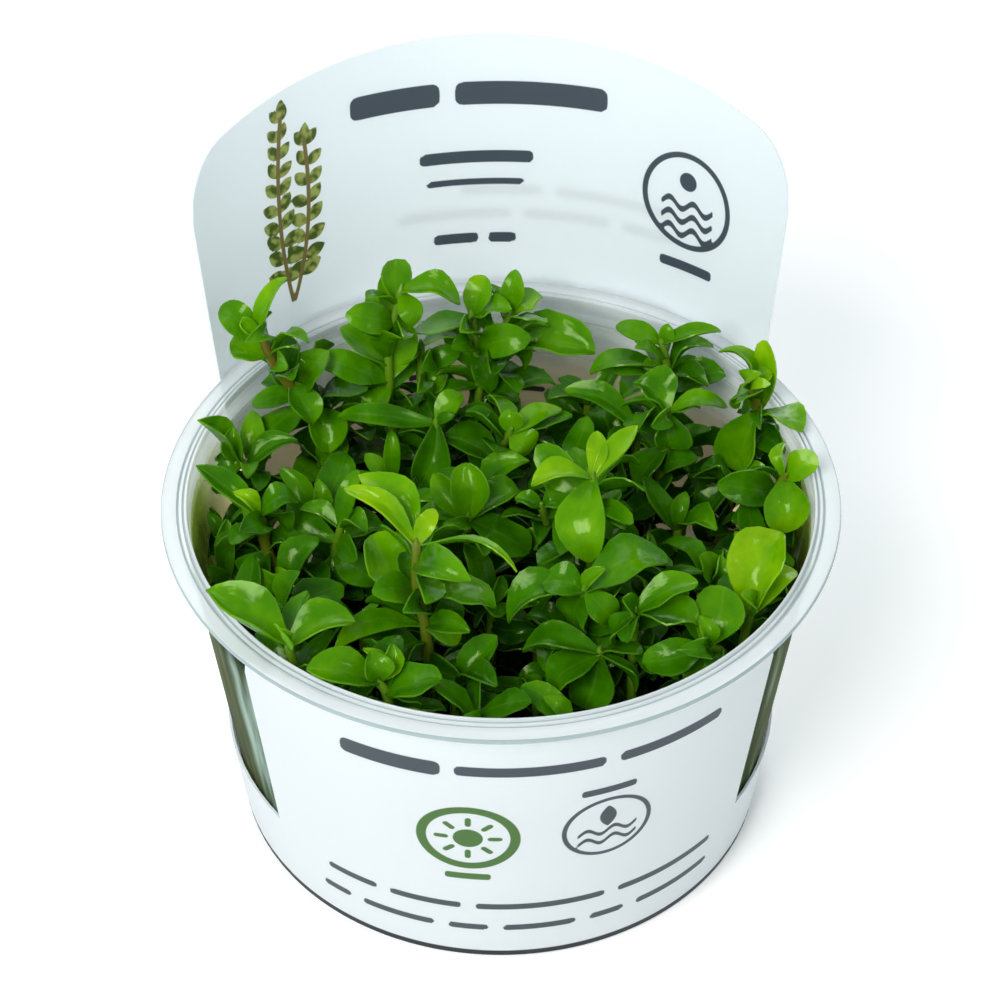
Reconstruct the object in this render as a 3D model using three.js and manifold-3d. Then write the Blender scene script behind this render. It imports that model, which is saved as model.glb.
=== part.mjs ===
// A cup of young bacopa plants: a clear plastic cup with a printed sleeve, a bed of nutrient
// gel in the bottom, and the shoots that grow from it. Millimetres, +Z up, origin at the middle
// of the cup's base, the sleeve's low panel at the front (-Y) and its tall panel at the back.
import * as THREE from "three";
import { mergeVertices } from "three/addons/utils/BufferGeometryUtils.js";
import Module from "manifold-3d";

const wasm = await Module();
wasm.setup();

// Cup
const RIM_RADIUS = 50.5;
const RIM_TOP = 57.5;
const RIM_THICK = 0.9;
const WALL = 0.8;
const WALL_LOW_RADIUS = 40.2;
const WALL_LOW_Z = 1.2;
const WALL_HIGH_RADIUS = 47.0;
const WALL_HIGH_Z = 54;
const NECK_RADIUS = 47.9;
const LIP_RADIUS = 46.9;
const LIP_RISE = 0.4;
const CUP_SEGMENTS = 36;
const GEL_SEGMENTS = 18;

// Gel
const GEL_TOP = 12;
const GAP = 0.3;

// Sleeve
const SHEET = 0.4;
const SLEEVE_BOTTOM = 0.2;
const BAND_TOP = 15;
const FRONT_TOP = 53.6;
const FRONT_HALF_ANGLE = 54;
const FRONT_CORNER = 4.2;
const NOTCH_END_ANGLE = 124;
const NOTCH_CORNER = 5;
const LEAN_START_Z = 12;
const LEAN_SLOPE = 0.2;
const CREST_TOP = 98.8;
const CREST_HALF_WIDTH = 52.3;
const CREST_ARC_RADIUS = 172;
const CREST_CORNER = 8;
const CREST_NARROWING = 0.105;
const CREST_NARROW_FROM = 55;

// Shoots
const STEM_FOOT_Z = GEL_TOP + GAP;
const STEM_RADIUS = 1.0;
const STEM_TIP_RADIUS = 0.7;
const STEM_SIDES = 5;
const BUD_LENGTH = 1.5;
const LOWER_JOINT = 0.75;
const LEAF_THICK = 0.6;
const LEAF_CUP = 0.25;
const LARGE_LEAF = 5.5;
const NARROW_LEAF = 4;
const SPROUT_ROOM = 0.5;
const GROWTH_TURN = 137.5;

const degrees = THREE.MathUtils.degToRad;
const wallSlope = (WALL_HIGH_RADIUS - WALL_LOW_RADIUS) / (WALL_HIGH_Z - WALL_LOW_Z);

// Outer radius of the straight cup wall at a height
function wallRadius(z) {
  return WALL_LOW_RADIUS + wallSlope * (z - WALL_LOW_Z);
}

const clearPlastic = new THREE.MeshStandardMaterial({ color: 0xe6edee, roughness: 0.15, metalness: 0 });
const printedSheet = new THREE.MeshStandardMaterial({ color: 0xf2f5f6, roughness: 0.45, metalness: 0 });
const gelMaterial = new THREE.MeshStandardMaterial({ color: 0xc9c2a0, roughness: 0.2, metalness: 0 });
const leafMaterial = new THREE.MeshStandardMaterial({ color: 0x5a9a12, roughness: 0.35, metalness: 0 });

// Cup: base, tapered wall, a wider neck with a small ledge inside, and a flat rim with a lip
function cupGeometry() {
  const neckBottom = WALL_HIGH_Z + 0.6;
  const rimUnderside = RIM_TOP - RIM_THICK;
  const profile = [
    [0, 0],
    [WALL_LOW_RADIUS - 0.9, 0],
    [WALL_LOW_RADIUS, WALL_LOW_Z],
    [WALL_HIGH_RADIUS, WALL_HIGH_Z],
    [NECK_RADIUS, neckBottom],
    [NECK_RADIUS, rimUnderside],
    [RIM_RADIUS, rimUnderside],
    [RIM_RADIUS, RIM_TOP],
    [LIP_RADIUS + 0.3, RIM_TOP],
    [LIP_RADIUS, RIM_TOP + LIP_RISE],
    [LIP_RADIUS - 0.4, RIM_TOP + LIP_RISE],
    [LIP_RADIUS - 0.2, neckBottom + 0.6],
    [WALL_HIGH_RADIUS - WALL, WALL_HIGH_Z],
    [wallRadius(WALL_LOW_Z + WALL) - WALL, WALL_LOW_Z + WALL],
    [WALL_LOW_RADIUS - WALL - 1, WALL],
    [0, WALL],
  ];
  return standing(new THREE.LatheGeometry(profile.map(([r, z]) => new THREE.Vector2(r, z)), CUP_SEGMENTS));
}

// Gel: a low disc that fills the bottom of the cup
function gelGeometry() {
  const floor = WALL + GAP;
  const cornerZ = WALL_LOW_Z + WALL + GAP;
  const side = (z) => wallRadius(z) - WALL - GAP;
  const profile = [
    [0, floor],
    [side(cornerZ) - 1.2, floor],
    [side(cornerZ), cornerZ],
    [side(GEL_TOP), GEL_TOP],
    [0, GEL_TOP],
  ];
  return standing(new THREE.LatheGeometry(profile.map(([r, z]) => new THREE.Vector2(r, z)), GEL_SEGMENTS));
}

// A turned shape with its axis brought from +Y to +Z
function standing(geometry) {
  return geometry.rotateX(Math.PI / 2);
}

// Sleeve: outer radius of the printed sheet, which leaves the wall at the back to clear the rim
function sheetRadius(z, isBack) {
  const onWall = (height) => wallRadius(height) + GAP + SHEET;
  if (!isBack || z <= LEAN_START_Z) return onWall(z);
  return onWall(LEAN_START_Z) + LEAN_SLOPE * (z - LEAN_START_Z);
}

// Height of a rounded corner at a distance from the corner's straight side
function roundedDrop(distance, radius) {
  if (distance >= radius) return 0;
  const run = radius - distance;
  return radius - Math.sqrt(radius * radius - run * run);
}

// Sleeve: the top edge of the tall back panel across its half width, 0 in the middle, 1 at the side
function crestHeight(across) {
  const arc = across * CREST_HALF_WIDTH;
  const bow = CREST_ARC_RADIUS - Math.sqrt(CREST_ARC_RADIUS ** 2 - arc ** 2);
  return CREST_TOP - bow - roundedDrop(CREST_HALF_WIDTH - arc, CREST_CORNER);
}

// Sleeve: one sheet of even thickness, laid out in columns round the cup and rows up it
function sleeveGeometry() {
  const backHalfAngle = 180 - NOTCH_END_ANGLE;
  const front = [-40, -32, -24, -16, -8, 0, 8, 16, 24, 32, 40];
  const frontCorner = [54, 53.5, 52.4, 50.8, 49];
  const notch = [63, 71.5, 80, 89, 98, 107.5, 117.3, 119.5, 121.6, 123.2];
  const backAcross = [1, 0.985, 0.95, 0.9, 0.845, 0.72, 0.58, 0.44, 0.29, 0.15];
  const columns = [];
  for (const angle of front) columns.push({ angle, zone: "front" });
  for (const angle of [...frontCorner].reverse()) columns.push({ angle, zone: "front" });
  for (const angle of notch) columns.push({ angle, zone: "notch" });
  for (const across of backAcross) columns.push({ across, zone: "back" });
  columns.push({ across: 0, zone: "back" });
  for (const across of [...backAcross].reverse()) columns.push({ across: -across, zone: "back" });
  for (const angle of [...notch].reverse()) columns.push({ angle: -angle, zone: "notch" });
  for (const angle of frontCorner) columns.push({ angle: -angle, zone: "front" });

  const backRows = [BAND_TOP, CREST_NARROW_FROM, 82];
  const frontSideArc = (angle) => degrees(FRONT_HALF_ANGLE - Math.abs(angle)) * sheetRadius(FRONT_TOP, false);
  const notchSideArc = (angle) => degrees(NOTCH_END_ANGLE - Math.abs(angle)) * sheetRadius(BAND_TOP, false);

  function rowHeights(column) {
    if (column.zone === "front") {
      return [SLEEVE_BOTTOM, BAND_TOP, FRONT_TOP - roundedDrop(frontSideArc(column.angle), FRONT_CORNER)];
    }
    if (column.zone === "notch") {
      return [SLEEVE_BOTTOM, BAND_TOP + roundedDrop(notchSideArc(column.angle), NOTCH_CORNER)];
    }
    const top = crestHeight(Math.abs(column.across));
    return [SLEEVE_BOTTOM, ...backRows.map((z) => Math.min(z, top)), top];
  }

  function columnAngle(column, z) {
    if (column.zone !== "back") return column.angle;
    const half = backHalfAngle - CREST_NARROWING * Math.max(0, z - CREST_NARROW_FROM);
    return 180 - column.across * half;
  }

  const positions = [];
  const pointIndex = new Map();
  function point(columnNumber, row, layer) {
    const key = `${columnNumber}/${row}/${layer}`;
    if (!pointIndex.has(key)) {
      const column = columns[columnNumber];
      const heights = rowHeights(column);
      const edgeBand = column.zone === "back" && row <= 1;
      let z = heights[row];
      if (edgeBand && row === 1 && Math.abs(column.across) === 1) z = BAND_TOP + NOTCH_CORNER;
      const angle = degrees(columnAngle(column, z));
      const radius = sheetRadius(z, column.zone === "back") - layer * SHEET;
      pointIndex.set(key, positions.length / 3);
      positions.push(radius * Math.sin(angle), -radius * Math.cos(angle), z);
    }
    return pointIndex.get(key);
  }

  const triangles = [];
  const edgeUses = new Map();
  function addCell(corners) {
    const outer = corners.map(([c, r]) => point(c, r, 0));
    const inner = corners.map(([c, r]) => point(c, r, 1));
    triangles.push(outer[0], outer[1], outer[2], outer[0], outer[2], outer[3]);
    triangles.push(inner[0], inner[2], inner[1], inner[0], inner[3], inner[2]);
    for (let k = 0; k < 4; k += 1) {
      const [from, to] = [corners[k], corners[(k + 1) % 4]];
      const reverseKey = `${to}|${from}`;
      if (edgeUses.has(reverseKey)) edgeUses.delete(reverseKey);
      else edgeUses.set(`${from}|${to}`, [from, to]);
    }
  }

  for (let c = 0; c < columns.length; c += 1) {
    const next = (c + 1) % columns.length;
    const zones = [columns[c].zone, columns[next].zone];
    const isFront = zones.every((zone) => zone === "front");
    const isBack = zones.every((zone) => zone === "back");
    const rows = isBack ? backRows.length + 1 : isFront ? 2 : 1;
    for (let r = 0; r < rows; r += 1) {
      addCell([[c, r], [next, r], [next, r + 1], [c, r + 1]]);
    }
  }
  for (const [from, to] of edgeUses.values()) {
    const [a, b] = [point(...from, 0), point(...to, 0)];
    const [c, d] = [point(...to, 1), point(...from, 1)];
    triangles.push(a, c, b, a, d, c);
  }
  return solidGeometry(positions, triangles);
}

function solidGeometry(positions, triangles) {
  const geometry = new THREE.BufferGeometry();
  geometry.setAttribute("position", new THREE.Float32BufferAttribute(positions, 3));
  geometry.setIndex(triangles);
  geometry.computeVertexNormals();
  return geometry;
}

// A closed solid through rings of points; an end ring of one point draws that end in to it
function loftGeometry(rings) {
  const starts = [];
  const points = [];
  for (const ring of rings) {
    starts.push(points.length);
    points.push(...ring);
  }
  const sides = rings[1].length;
  const triangles = [];
  for (let ring = 0; ring + 1 < rings.length; ring += 1) {
    for (let k = 0; k < sides; k += 1) {
      const next = (k + 1) % sides;
      const [low, high] = [starts[ring], starts[ring + 1]];
      if (rings[ring].length === 1) triangles.push(low, high + next, high + k);
      else if (rings[ring + 1].length === 1) triangles.push(low + k, low + next, high);
      else triangles.push(low + k, low + next, high + next, low + k, high + next, high + k);
    }
  }
  const last = starts.at(-1);
  for (let k = 1; rings[0].length > 1 && k + 1 < sides; k += 1) triangles.push(0, k + 1, k);
  for (let k = 1; rings.at(-1).length > 1 && k + 1 < sides; k += 1) triangles.push(last, last + k, last + k + 1);
  return solidGeometry(points.flatMap((p) => [p.x, p.y, p.z]), triangles);
}

// The points that a stem runs through, from its foot on the gel, past its lower leaves, to its top
function stemRoute(foot, joints) {
  const bottom = new THREE.Vector3(foot[0], foot[1], STEM_FOOT_Z);
  const upper = [...joints].reverse().map((joint) => new THREE.Vector3(...joint));
  return [bottom, bottom.clone().lerp(upper[0], LOWER_JOINT), ...upper];
}

// Stem: a tapered round stalk along its route, given from the top down, that ends in a small bud
function stemGeometry(foot, joints) {
  const route = stemRoute(foot, joints);
  const direction = (index) => (
    route[Math.min(index + 1, route.length - 1)].clone().sub(route[Math.max(index - 1, 0)]).normalize()
  );
  const rings = route.map((centre, index) => {
    const along = direction(index);
    const radius = THREE.MathUtils.lerp(STEM_RADIUS, STEM_TIP_RADIUS, index / (route.length - 1));
    const side = new THREE.Vector3(1, 0, 0).addScaledVector(along, -along.x).normalize();
    const depth = along.clone().cross(side);
    return Array.from({ length: STEM_SIDES }, (_, k) => {
      const turn = (2 * Math.PI * k) / STEM_SIDES;
      const point = centre.clone().addScaledVector(side, radius * Math.cos(turn));
      return point.addScaledVector(depth, radius * Math.sin(turn));
    });
  });
  for (const point of rings[0]) point.z = STEM_FOOT_Z;
  if (joints.length === 1) rings.splice(1, 1);
  const bud = route.at(-1).clone().addScaledVector(direction(route.length - 1), BUD_LENGTH);
  return loftGeometry([...rings, [bud]]);
}

// Leaf: a thin cupped blade from a joint on the stem to its tip, widest past the middle
function leafGeometry(joint, tip, width, arch, roll) {
  const base = new THREE.Vector3(...joint);
  const end = new THREE.Vector3(...tip);
  const along = end.clone().sub(base);
  const length = along.length();
  along.normalize();
  const upward = new THREE.Vector3(0, 0, 1).addScaledVector(along, -along.z).normalize();
  upward.applyAxisAngle(along, degrees(roll));
  const side = upward.clone().cross(along);
  let outline = [[0.42, 0.92], [0.8, 0.88]];
  if (width >= LARGE_LEAF) outline = [[0.3, 0.78], [0.62, 1], [0.88, 0.68]];
  if (width <= NARROW_LEAF) outline = [[0.58, 1]];
  const rings = outline.map(([t, share]) => {
    const lift = 4 * t * (1 - t) * arch;
    const middle = base.clone().addScaledVector(along, t * length).addScaledVector(upward, lift);
    const half = (width / 2) * share;
    const edge = middle.clone().addScaledVector(upward, half * LEAF_CUP);
    const ring = [
      edge.clone().addScaledVector(side, half),
      middle.clone().addScaledVector(upward, LEAF_THICK / 2),
      edge.clone().addScaledVector(side, -half),
      middle.clone().addScaledVector(upward, -LEAF_THICK / 2),
    ];
    return width > NARROW_LEAF ? ring : [ring[0], ring[2], ring[3]];
  });
  return loftGeometry([[base], ...rings, [end]]);
}

function toManifold(geometry) {
  geometry.deleteAttribute("normal");
  geometry.deleteAttribute("uv");
  const merged = mergeVertices(geometry, 1e-5);
  return new wasm.Manifold(new wasm.Mesh({
    numProp: 3,
    vertProperties: merged.attributes.position.array,
    triVerts: new Uint32Array(merged.index.array),
  }));
}

function fromManifold(solid) {
  const mesh = solid.getMesh();
  return solidGeometry(Array.from(mesh.vertProperties), Array.from(mesh.triVerts));
}

// Shoots, each one plantlet: the stem's foot on the gel [x, y]; the stem's joints from the top
// down [x, y, z]; and the leaves [joint number, tip x, y, z, width, arch, roll in degrees]
const SHOOTS = [
  { foot: [-20, 24], joints: [[-35, 24, 69], [-34, 23, 66], [-30, 23, 58], [-25, 27, 48]],
    leaves: [[0, -31, 28, 77, 4, 1.8, 0], [0, -41, 28, 72, 4.5, 0.8, 0], [1, -40, 25, 67, 5.5, 0.6, 0],
      [1, -28, 21, 70, 2.5, 1.6, 60], [2, -25, 26, 64, 5.5, 1, 0], [2, -37, 22, 57, 3, 0.8, 30]] },
  { foot: [-33, 14], joints: [[-39, 13, 53], [-37, 15, 50]],
    leaves: [[0, -45, 14, 61.3, 5, -0.3, 0], [0, -40, 16, 58, 2.5, 0.3, 60], [1, -29, 22, 56, 5.5, 0.6, 0],
      [1, -37, 22, 56, 3.5, 0.6, 0], [0, -42.5, 12, 50, 4, 0.8, 0]] },
  { foot: [-30, -2], joints: [[-36, -2, 56], [-35, -2, 49], [-33, -3, 43]],
    leaves: [[0, -45, 3, 62, 3, -1, 50], [0, -30, 0, 57, 4, 2.4, 0], [0, -38, -1, 54, 4, 0.6, 0],
      [0, -32, -1, 52, 4.5, 0.8, 0], [1, -36, -4, 45, 5.5, 0.8, 0], [1, -30, -2, 50, 4, 0.8, 0]] },
  { foot: [-37, -6], joints: [[-41, -3, 44]],
    leaves: [[0, -41, 2, 52, 2.5, 0.5, 0], [0, -38, -6, 43, 4, 0.6, 0]] },
  { foot: [-26, -25], joints: [[-31.5, -30.5, 57.3]],
    leaves: [[0, -43, -24.3, 62.6, 6.5, -0.2, -8], [0, -22, -28.5, 59.5, 7.5, 0.8, 0]] },
  { foot: [-16, -31], joints: [[-19, -35, 54], [-18, -35, 52]],
    leaves: [[0, -29, -36, 58, 5.5, 1, 0], [0, -20, -33, 58, 4, 1, 0], [1, -10, -36, 55, 6, 0.5, 0],
      [0, -26, -35, 54, 2, 0.3, 0], [1, -13, -35, 49, 4, 0.5, 0]] },
  { foot: [-10, -21], joints: [[-13, -20, 66], [-13, -22, 58], [-12, -23, 53]],
    leaves: [[0, -23, -14, 72, 2.5, 0.6, 55], [0, -21, -9, 70, 5, 1, 0], [1, -19, -13, 62, 6.5, -0.8, 0],
      [0, 1, -26, 66, 2, 1.2, 60], [1, -2, -25, 58, 8, 0.5, 0], [2, -25, -28, 54, 3.5, 1, 0],
      [2, -7, -23, 50, 4, 0.6, 0]] },
  { foot: [-23, 2], joints: [[-24, -2, 53], [-25, -1, 47]],
    leaves: [[0, -21, 2, 61, 2.5, 0.4, 0], [0, -30, 1.5, 54, 2.5, 0.6, 0], [0, -20, -4, 54, 3, 0.9, 0],
      [1, -25, -4, 42, 4.5, 0.6, 0], [1, -19, -6, 45, 5, 0.6, 0]] },
  { foot: [-27, 9], joints: [[-28, 7, 47]],
    leaves: [[0, -33, 12, 53, 2.5, 0.6, 0], [0, -23, 17, 51, 5, 0.8, 0]] },
  { foot: [-26, 19], joints: [[-27, 21, 45]],
    leaves: [[0, -23, 23, 49, 5, 0.8, 0], [0, -32, 24, 48, 5, 0.8, 0], [0, -31, 17, 46, 4, 0.6, 0]] },
  { foot: [-14, 27], joints: [[-14, 30, 72], [-16, 27, 63], [-16, 26, 58], [-16, 27, 51]],
    leaves: [[1, -19, 32, 70, 3.5, 0.4, 0], [2, -14, 32, 66, 3.5, 0.4, 0], [0, -12, 27, 68, 3.5, 0.6, 0],
      [0, -5, 28, 71, 4.5, 2.4, 0], [2, -27, 28, 61, 4.5, 2, 0], [2, -19, 30, 60, 2.5, 0.4, 0]] },
  { foot: [-8, 30], joints: [[-11, 30, 61], [-11, 29, 52]],
    leaves: [[0, -5, 30, 63, 4, 0.8, 0], [0, -15, 28, 60, 3, 0.6, 0], [1, -7, 31, 55, 4.5, 0.6, 0],
      [1, -14, 24.5, 49, 4, 0.6, 0]] },
  { foot: [-3, 26], joints: [[-3, 32, 65], [-2, 29, 54], [-3, 27, 46]],
    leaves: [[0, -1, 36, 70, 4, 0.4, 0], [0, -12, 30, 64, 6, 0.6, 0], [0, 3, 30.5, 67.5, 4.5, 0.8, 0],
      [1, -10, 25, 52, 3, 0.8, 30], [1, 4, 27, 52, 3.5, 0.8, 0]] },
  { foot: [3, 31], joints: [[3, 33, 65], [1, 31, 59], [1, 30, 51]],
    leaves: [[0, 4, 36, 71, 3.5, 0.4, 0], [0, 8, 34, 67, 6, 0.6, 0], [1, 16, 30, 59, 6.5, 0.6, 0],
      [1, 9, 33, 62, 4.5, 0.8, 0], [1, 5, 30, 56, 4, 1.2, 0], [2, 10, 32, 51, 4.5, 0.8, 0]] },
  { foot: [1, 15], joints: [[2, 14, 57], [1, 16, 51]],
    leaves: [[0, 2, 16, 60, 3.5, 0.3, 0], [0, 10, 18, 58, 4, 0.6, 0], [0, 5, 13, 54, 4.5, 0.6, 0],
      [0, -1, 21, 58, 3, 0.8, 0]] },
  { foot: [23, 27], joints: [[26, 27, 63], [27, 26, 58], [26, 29, 50]],
    leaves: [[0, 19, 29, 65, 3, 0.8, 0], [0, 35, 27, 65, 3.5, 1.4, 0], [1, 34, 27, 62, 4.5, 0.6, 0],
      [0, 27, 28, 66, 2, 0.2, 0], [1, 22, 29, 62, 3, -0.5, 0], [1, 15, 26, 58, 5, 0.8, 0],
      [1, 23, 25, 60, 3.5, 0.6, 0]] },
  { foot: [22, 13], joints: [[26, 15, 59], [26, 15, 52], [24, 13, 43]],
    leaves: [[0, 21, 19, 62, 6, 0.6, 0], [0, 31, 15, 60, 3.5, 0.6, 0], [0, 35, 15, 60, 2.5, 3, 0],
      [1, 22, 12, 46, 6, 0.6, 0], [0, 26, 13, 54, 5, 0.8, 0], [1, 33, 17, 54, 2.5, 0.6, 0],
      [1, 30, 15, 47, 3, 0.6, 0], [2, 21, 11, 41, 3.5, 0.6, 0], [2, 26, 11, 40, 3, 0.5, 0]] },
  { foot: [19, 19], joints: [[22, 19, 52]],
    leaves: [[0, 11, 25, 56, 3.5, 1.4, 0], [0, 18, 17, 49, 4, 0.8, 0]] },
  { foot: [34, 18], joints: [[39, 17, 62], [40, 17, 57], [38, 19, 50]],
    leaves: [[0, 34, 21, 66, 5, 2, 0], [0, 37, 17, 58, 4, 1, 0], [1, 41, 21, 68, 3, -0.8, 30],
      [1, 37, 14, 48, 6.5, 0.8, 0], [1, 46, 10, 59, 6, 0.8, 0], [0, 42, 18, 64, 3.5, 0.5, 0]] },
  { foot: [37, 4], joints: [[42.5, 2, 57], [41.5, 5, 50]],
    leaves: [[0, 47, 2, 61.5, 4, 0.4, 0], [0, 42.3, -3.5, 51, 6, 0.6, 0]] },
  { foot: [30, -21], joints: [[35, -23, 53]],
    leaves: [[0, 40, -13, 60, 8.5, 0.8, 0], [0, 42, -17, 56, 4, 0.6, 0]] },
  { foot: [25, -27], joints: [[28, -29, 53], [31, -27, 49]],
    leaves: [[0, 31, -22, 58, 6.5, 0.8, 0], [0, 19, -30, 51, 5, 1, 0], [1, 25, -31, 48, 4, 0.8, 0]] },
  { foot: [18, -24], joints: [[18, -26, 57]],
    leaves: [[0, 27, -28, 56, 6.5, 0.6, 0], [0, 27, -24, 61, 4.5, 1, 0], [0, 16, -27, 61, 2.5, 0.2, 0],
      [0, 15, -27, 52, 4, 0.6, 0]] },
  { foot: [12, -8], joints: [[13, -7, 66], [13, -8, 51]],
    leaves: [[0, 12, -16, 58, 6.5, 1.6, 0], [0, 20, 0, 70, 2.5, 1.6, 0], [0, 14, -1, 70, 2.5, 0.4, 0],
      [0, 4, -8, 66, 4, 1.2, 0]] },
  { foot: [10, -20], joints: [[11, -22, 58]],
    leaves: [[0, 0, -24, 54, 6, 1.2, 0], [0, 5, -21, 59, 5, 1, 0], [0, 15, -24, 54, 4, 1.2, 0],
      [0, 10, -22.5, 50.5, 5.5, 0.8, 0], [0, 23, -17, 60, 8.5, 2.2, 0], [0, 23, -17, 55, 4.5, 0.8, 0]] },
  { foot: [14, -30], joints: [[13, -27, 50]],
    leaves: [[0, 6, -30, 45, 6, 0.8, 0], [0, 2, -25, 49, 6, 0.8, 0], [0, 11, -30, 42, 6, 0.6, 0],
      [0, 18, -31, 46, 3.5, 0.6, 0], [0, 19, -29, 52, 3.5, 0.6, 0]] },
  { foot: [3, -29], joints: [[4, -27, 41]],
    leaves: [[0, -4, -24, 41, 4, 0.8, 0], [0, 2, -24, 43, 3.5, 0.6, 0]] },
  { foot: [-5, -3], joints: [[-5, -2, 54]],
    leaves: [[0, -5, 3, 61, 5, 0.6, 0], [0, -10, 4, 58, 3.5, 0.8, 0], [0, -13, -1, 53, 4, 0.8, 0],
      [0, 4, -5, 50, 7, 0.8, 0], [0, 3, 4, 54, 4.5, 0.8, 0]] },
  { foot: [5, 1], joints: [[6, -3, 57], [7, -1, 51]],
    leaves: [[0, 2, -2, 58, 2.5, 0.8, 0], [0, 10, -3, 58, 3, 0.8, 0], [1, 12, -3, 49, 4, 0.8, 0],
      [1, 5, -3, 48, 3, 0.6, 0]] },
  { foot: [-9, 17], joints: [[-9, 19, 55]],
    leaves: [[0, -12, 15, 46, 5, 0.6, 0], [0, -24, 20, 56, 3.5, 0.8, 0], [0, -5, 22, 58, 3.5, 0.6, 0]] },
  { foot: [-16, 14], joints: [[-16, 15, 46]],
    leaves: [[0, -16, 19, 54, 2, 0.4, 0], [0, -11, 11.5, 44.5, 4, 0.8, 0]] },
  { foot: [-29, -15], joints: [[-32, -16, 50]],
    leaves: [[0, -30, -14, 56, 3.5, 0.6, 0], [0, -36, -12, 48, 4, 0.8, 0]] },
  { foot: [28, -9], joints: [[31, -10, 47]],
    leaves: [[0, 29, -9, 52, 5, 0.8, 0], [0, 24, -3, 49, 3, 2, 0]] },
  { foot: [32, 9], joints: [[36, 10, 49]],
    leaves: [[0, 39, 8, 42, 5, 0.8, 0], [0, 33, 7, 42, 5, 0.8, 0], [0, 31, 11, 51, 4.5, 0.6, 0],
      [0, 41.5, 8.5, 51, 4.5, 0.6, 0]] },
];

// Low shoots that fill the carpet between the others: foot [x, y] and tip [x, y, z]
const LOW_SHOOTS = [
  [[-20, -18], [-21, -18, 47]],
  [[-13, -10], [-13, -9, 48]],
  [[-2, -13], [-2, -12, 46]],
  [[5, -11], [5, -12, 45]],
  [[20, -14], [21, -14, 47]],
  [[20, -3], [21, -3, 45]],
  [[13, 4], [13, 5, 49]],
  [[10, 12], [10, 12, 50]],
  [[-3, 8], [-3, 7, 50]],
  [[-15, 6], [-15, 6, 48]],
  [[36, -4], [39.5, -5, 47]],
  [[-36.5, -12], [-40, -13, 46]],
  [[-22, -30], [-25, -33, 45]],
  [[-5, -33], [-5, -35, 46]],
  [[8, -35], [8, -37, 44]],
  [[36.5, -12], [40.5, -13, 46]],
  [[14, 27], [15, 29, 49]],
  [[-37.5, 4], [-41.5, 4.5, 46]],
  [[26, 3], [27, 3, 46]],
  [[-8, -26], [-8, -28, 45]],
  [[-31, -9], [-33, -9, 47]],
  [[2, 22], [2, 23, 48]],
];

function shootSolid({ foot, joints, leaves }) {
  let solid = toManifold(stemGeometry(foot, joints));
  for (const [joint, x, y, z, width, arch, roll] of leaves) {
    solid = solid.add(toManifold(leafGeometry(joints[joint], [x, y, z], width, arch, roll)));
  }
  return solid;
}

function boxesMeet(a, b) {
  return [0, 1, 2].every((axis) => a.min[axis] <= b.max[axis] && b.min[axis] <= a.max[axis]);
}

// Paired leaves by rule: each one turns round its joint, and then shortens, until it is clear of
// the cup and of every other shoot, and is left out where there is no room for it
function addPair(solids, index, joint, turn, length, width, rise) {
  for (const side of [0, 180]) {
    grow: for (const scale of [1, 0.8]) {
      for (const swing of [0, 25, -25, 50, -50]) {
        const angle = degrees(turn + side + swing);
        const reach = length * scale;
        const flat = [Math.cos(angle) * reach, Math.sin(angle) * reach];
        const tip = [joint[0] + flat[0], joint[1] + flat[1], joint[2] + rise * reach];
        const room = toManifold(leafRoom(joint, tip, width * scale));
        const box = room.boundingBox();
        const isBlocked = solids.some((other, number) => number !== index
          && boxesMeet(box, other.boundingBox()) && !other.intersect(room).isEmpty());
        if (isBlocked) continue;
        const leaf = leafGeometry(joint, tip, width * scale, 0.6, 0);
        solids[index] = solids[index].add(toManifold(leaf));
        break grow;
      }
    }
  }
}

// The space that a leaf needs round it, from clear of its own stem to past its tip
function leafRoom(joint, tip, width) {
  const start = new THREE.Vector3(...joint);
  const end = new THREE.Vector3(...tip);
  const along = end.clone().sub(start).normalize();
  const upward = new THREE.Vector3(0, 0, 1).addScaledVector(along, -along.z).normalize();
  const side = upward.clone().cross(along);
  start.addScaledVector(along, 1.5);
  end.addScaledVector(along, SPROUT_ROOM);
  const rings = [[start, 0.4], [start.clone().lerp(end, 0.55), 1], [end, 0.25]].map(([middle, share]) => {
    const half = (width / 2) * share + SPROUT_ROOM;
    return [[half, 1.6], [-half, 1.6], [-half, -1], [half, -1]].map(([across, lift]) => (
      middle.clone().addScaledVector(side, across).addScaledVector(upward, lift)
    ));
  });
  return loftGeometry(rings);
}

function namedMesh(name, geometry, material) {
  const mesh = new THREE.Mesh(geometry, material);
  mesh.name = name;
  return mesh;
}

const pot = new THREE.Group();
const cup = cupGeometry();
pot.add(namedMesh("cup", cup.clone(), clearPlastic));
pot.add(namedMesh("sleeve", sleeveGeometry(), printedSheet));
pot.add(namedMesh("gel", gelGeometry(), gelMaterial));

const shoots = [...SHOOTS, ...LOW_SHOOTS.map(([foot, tip]) => ({ foot, joints: [tip], leaves: [] }))];
const solids = shoots.map(shootSolid);
solids.push(toManifold(cup));
shoots.forEach(({ foot, joints, leaves }, number) => {
  const turn = GROWTH_TURN * number;
  const lower = stemRoute(foot, joints)[1].toArray();
  if (leaves.length === 0) addPair(solids, number, joints[0], turn, 8, 4, 0.7);
  addPair(solids, number, lower, turn + 90, 9, 4, 0.2);
});
solids.slice(0, shoots.length).forEach((solid, number) => {
  const name = `shoot_${String(number + 1).padStart(2, "0")}`;
  pot.add(namedMesh(name, fromManifold(solid), leafMaterial));
});

export default pot;
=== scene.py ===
# A cup of young lemon bacopa plants, as sold for aquariums: a clear cup in a printed sleeve,
# with nutrient gel in the bottom and a carpet of leafy shoots. Sizes are in mm, and times MM in
# metres, which is what Blender takes.
import math
import random

import bpy
import numpy as np
from mathutils import Euler, Matrix, Vector
from mathutils.bvhtree import BVHTree


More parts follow.
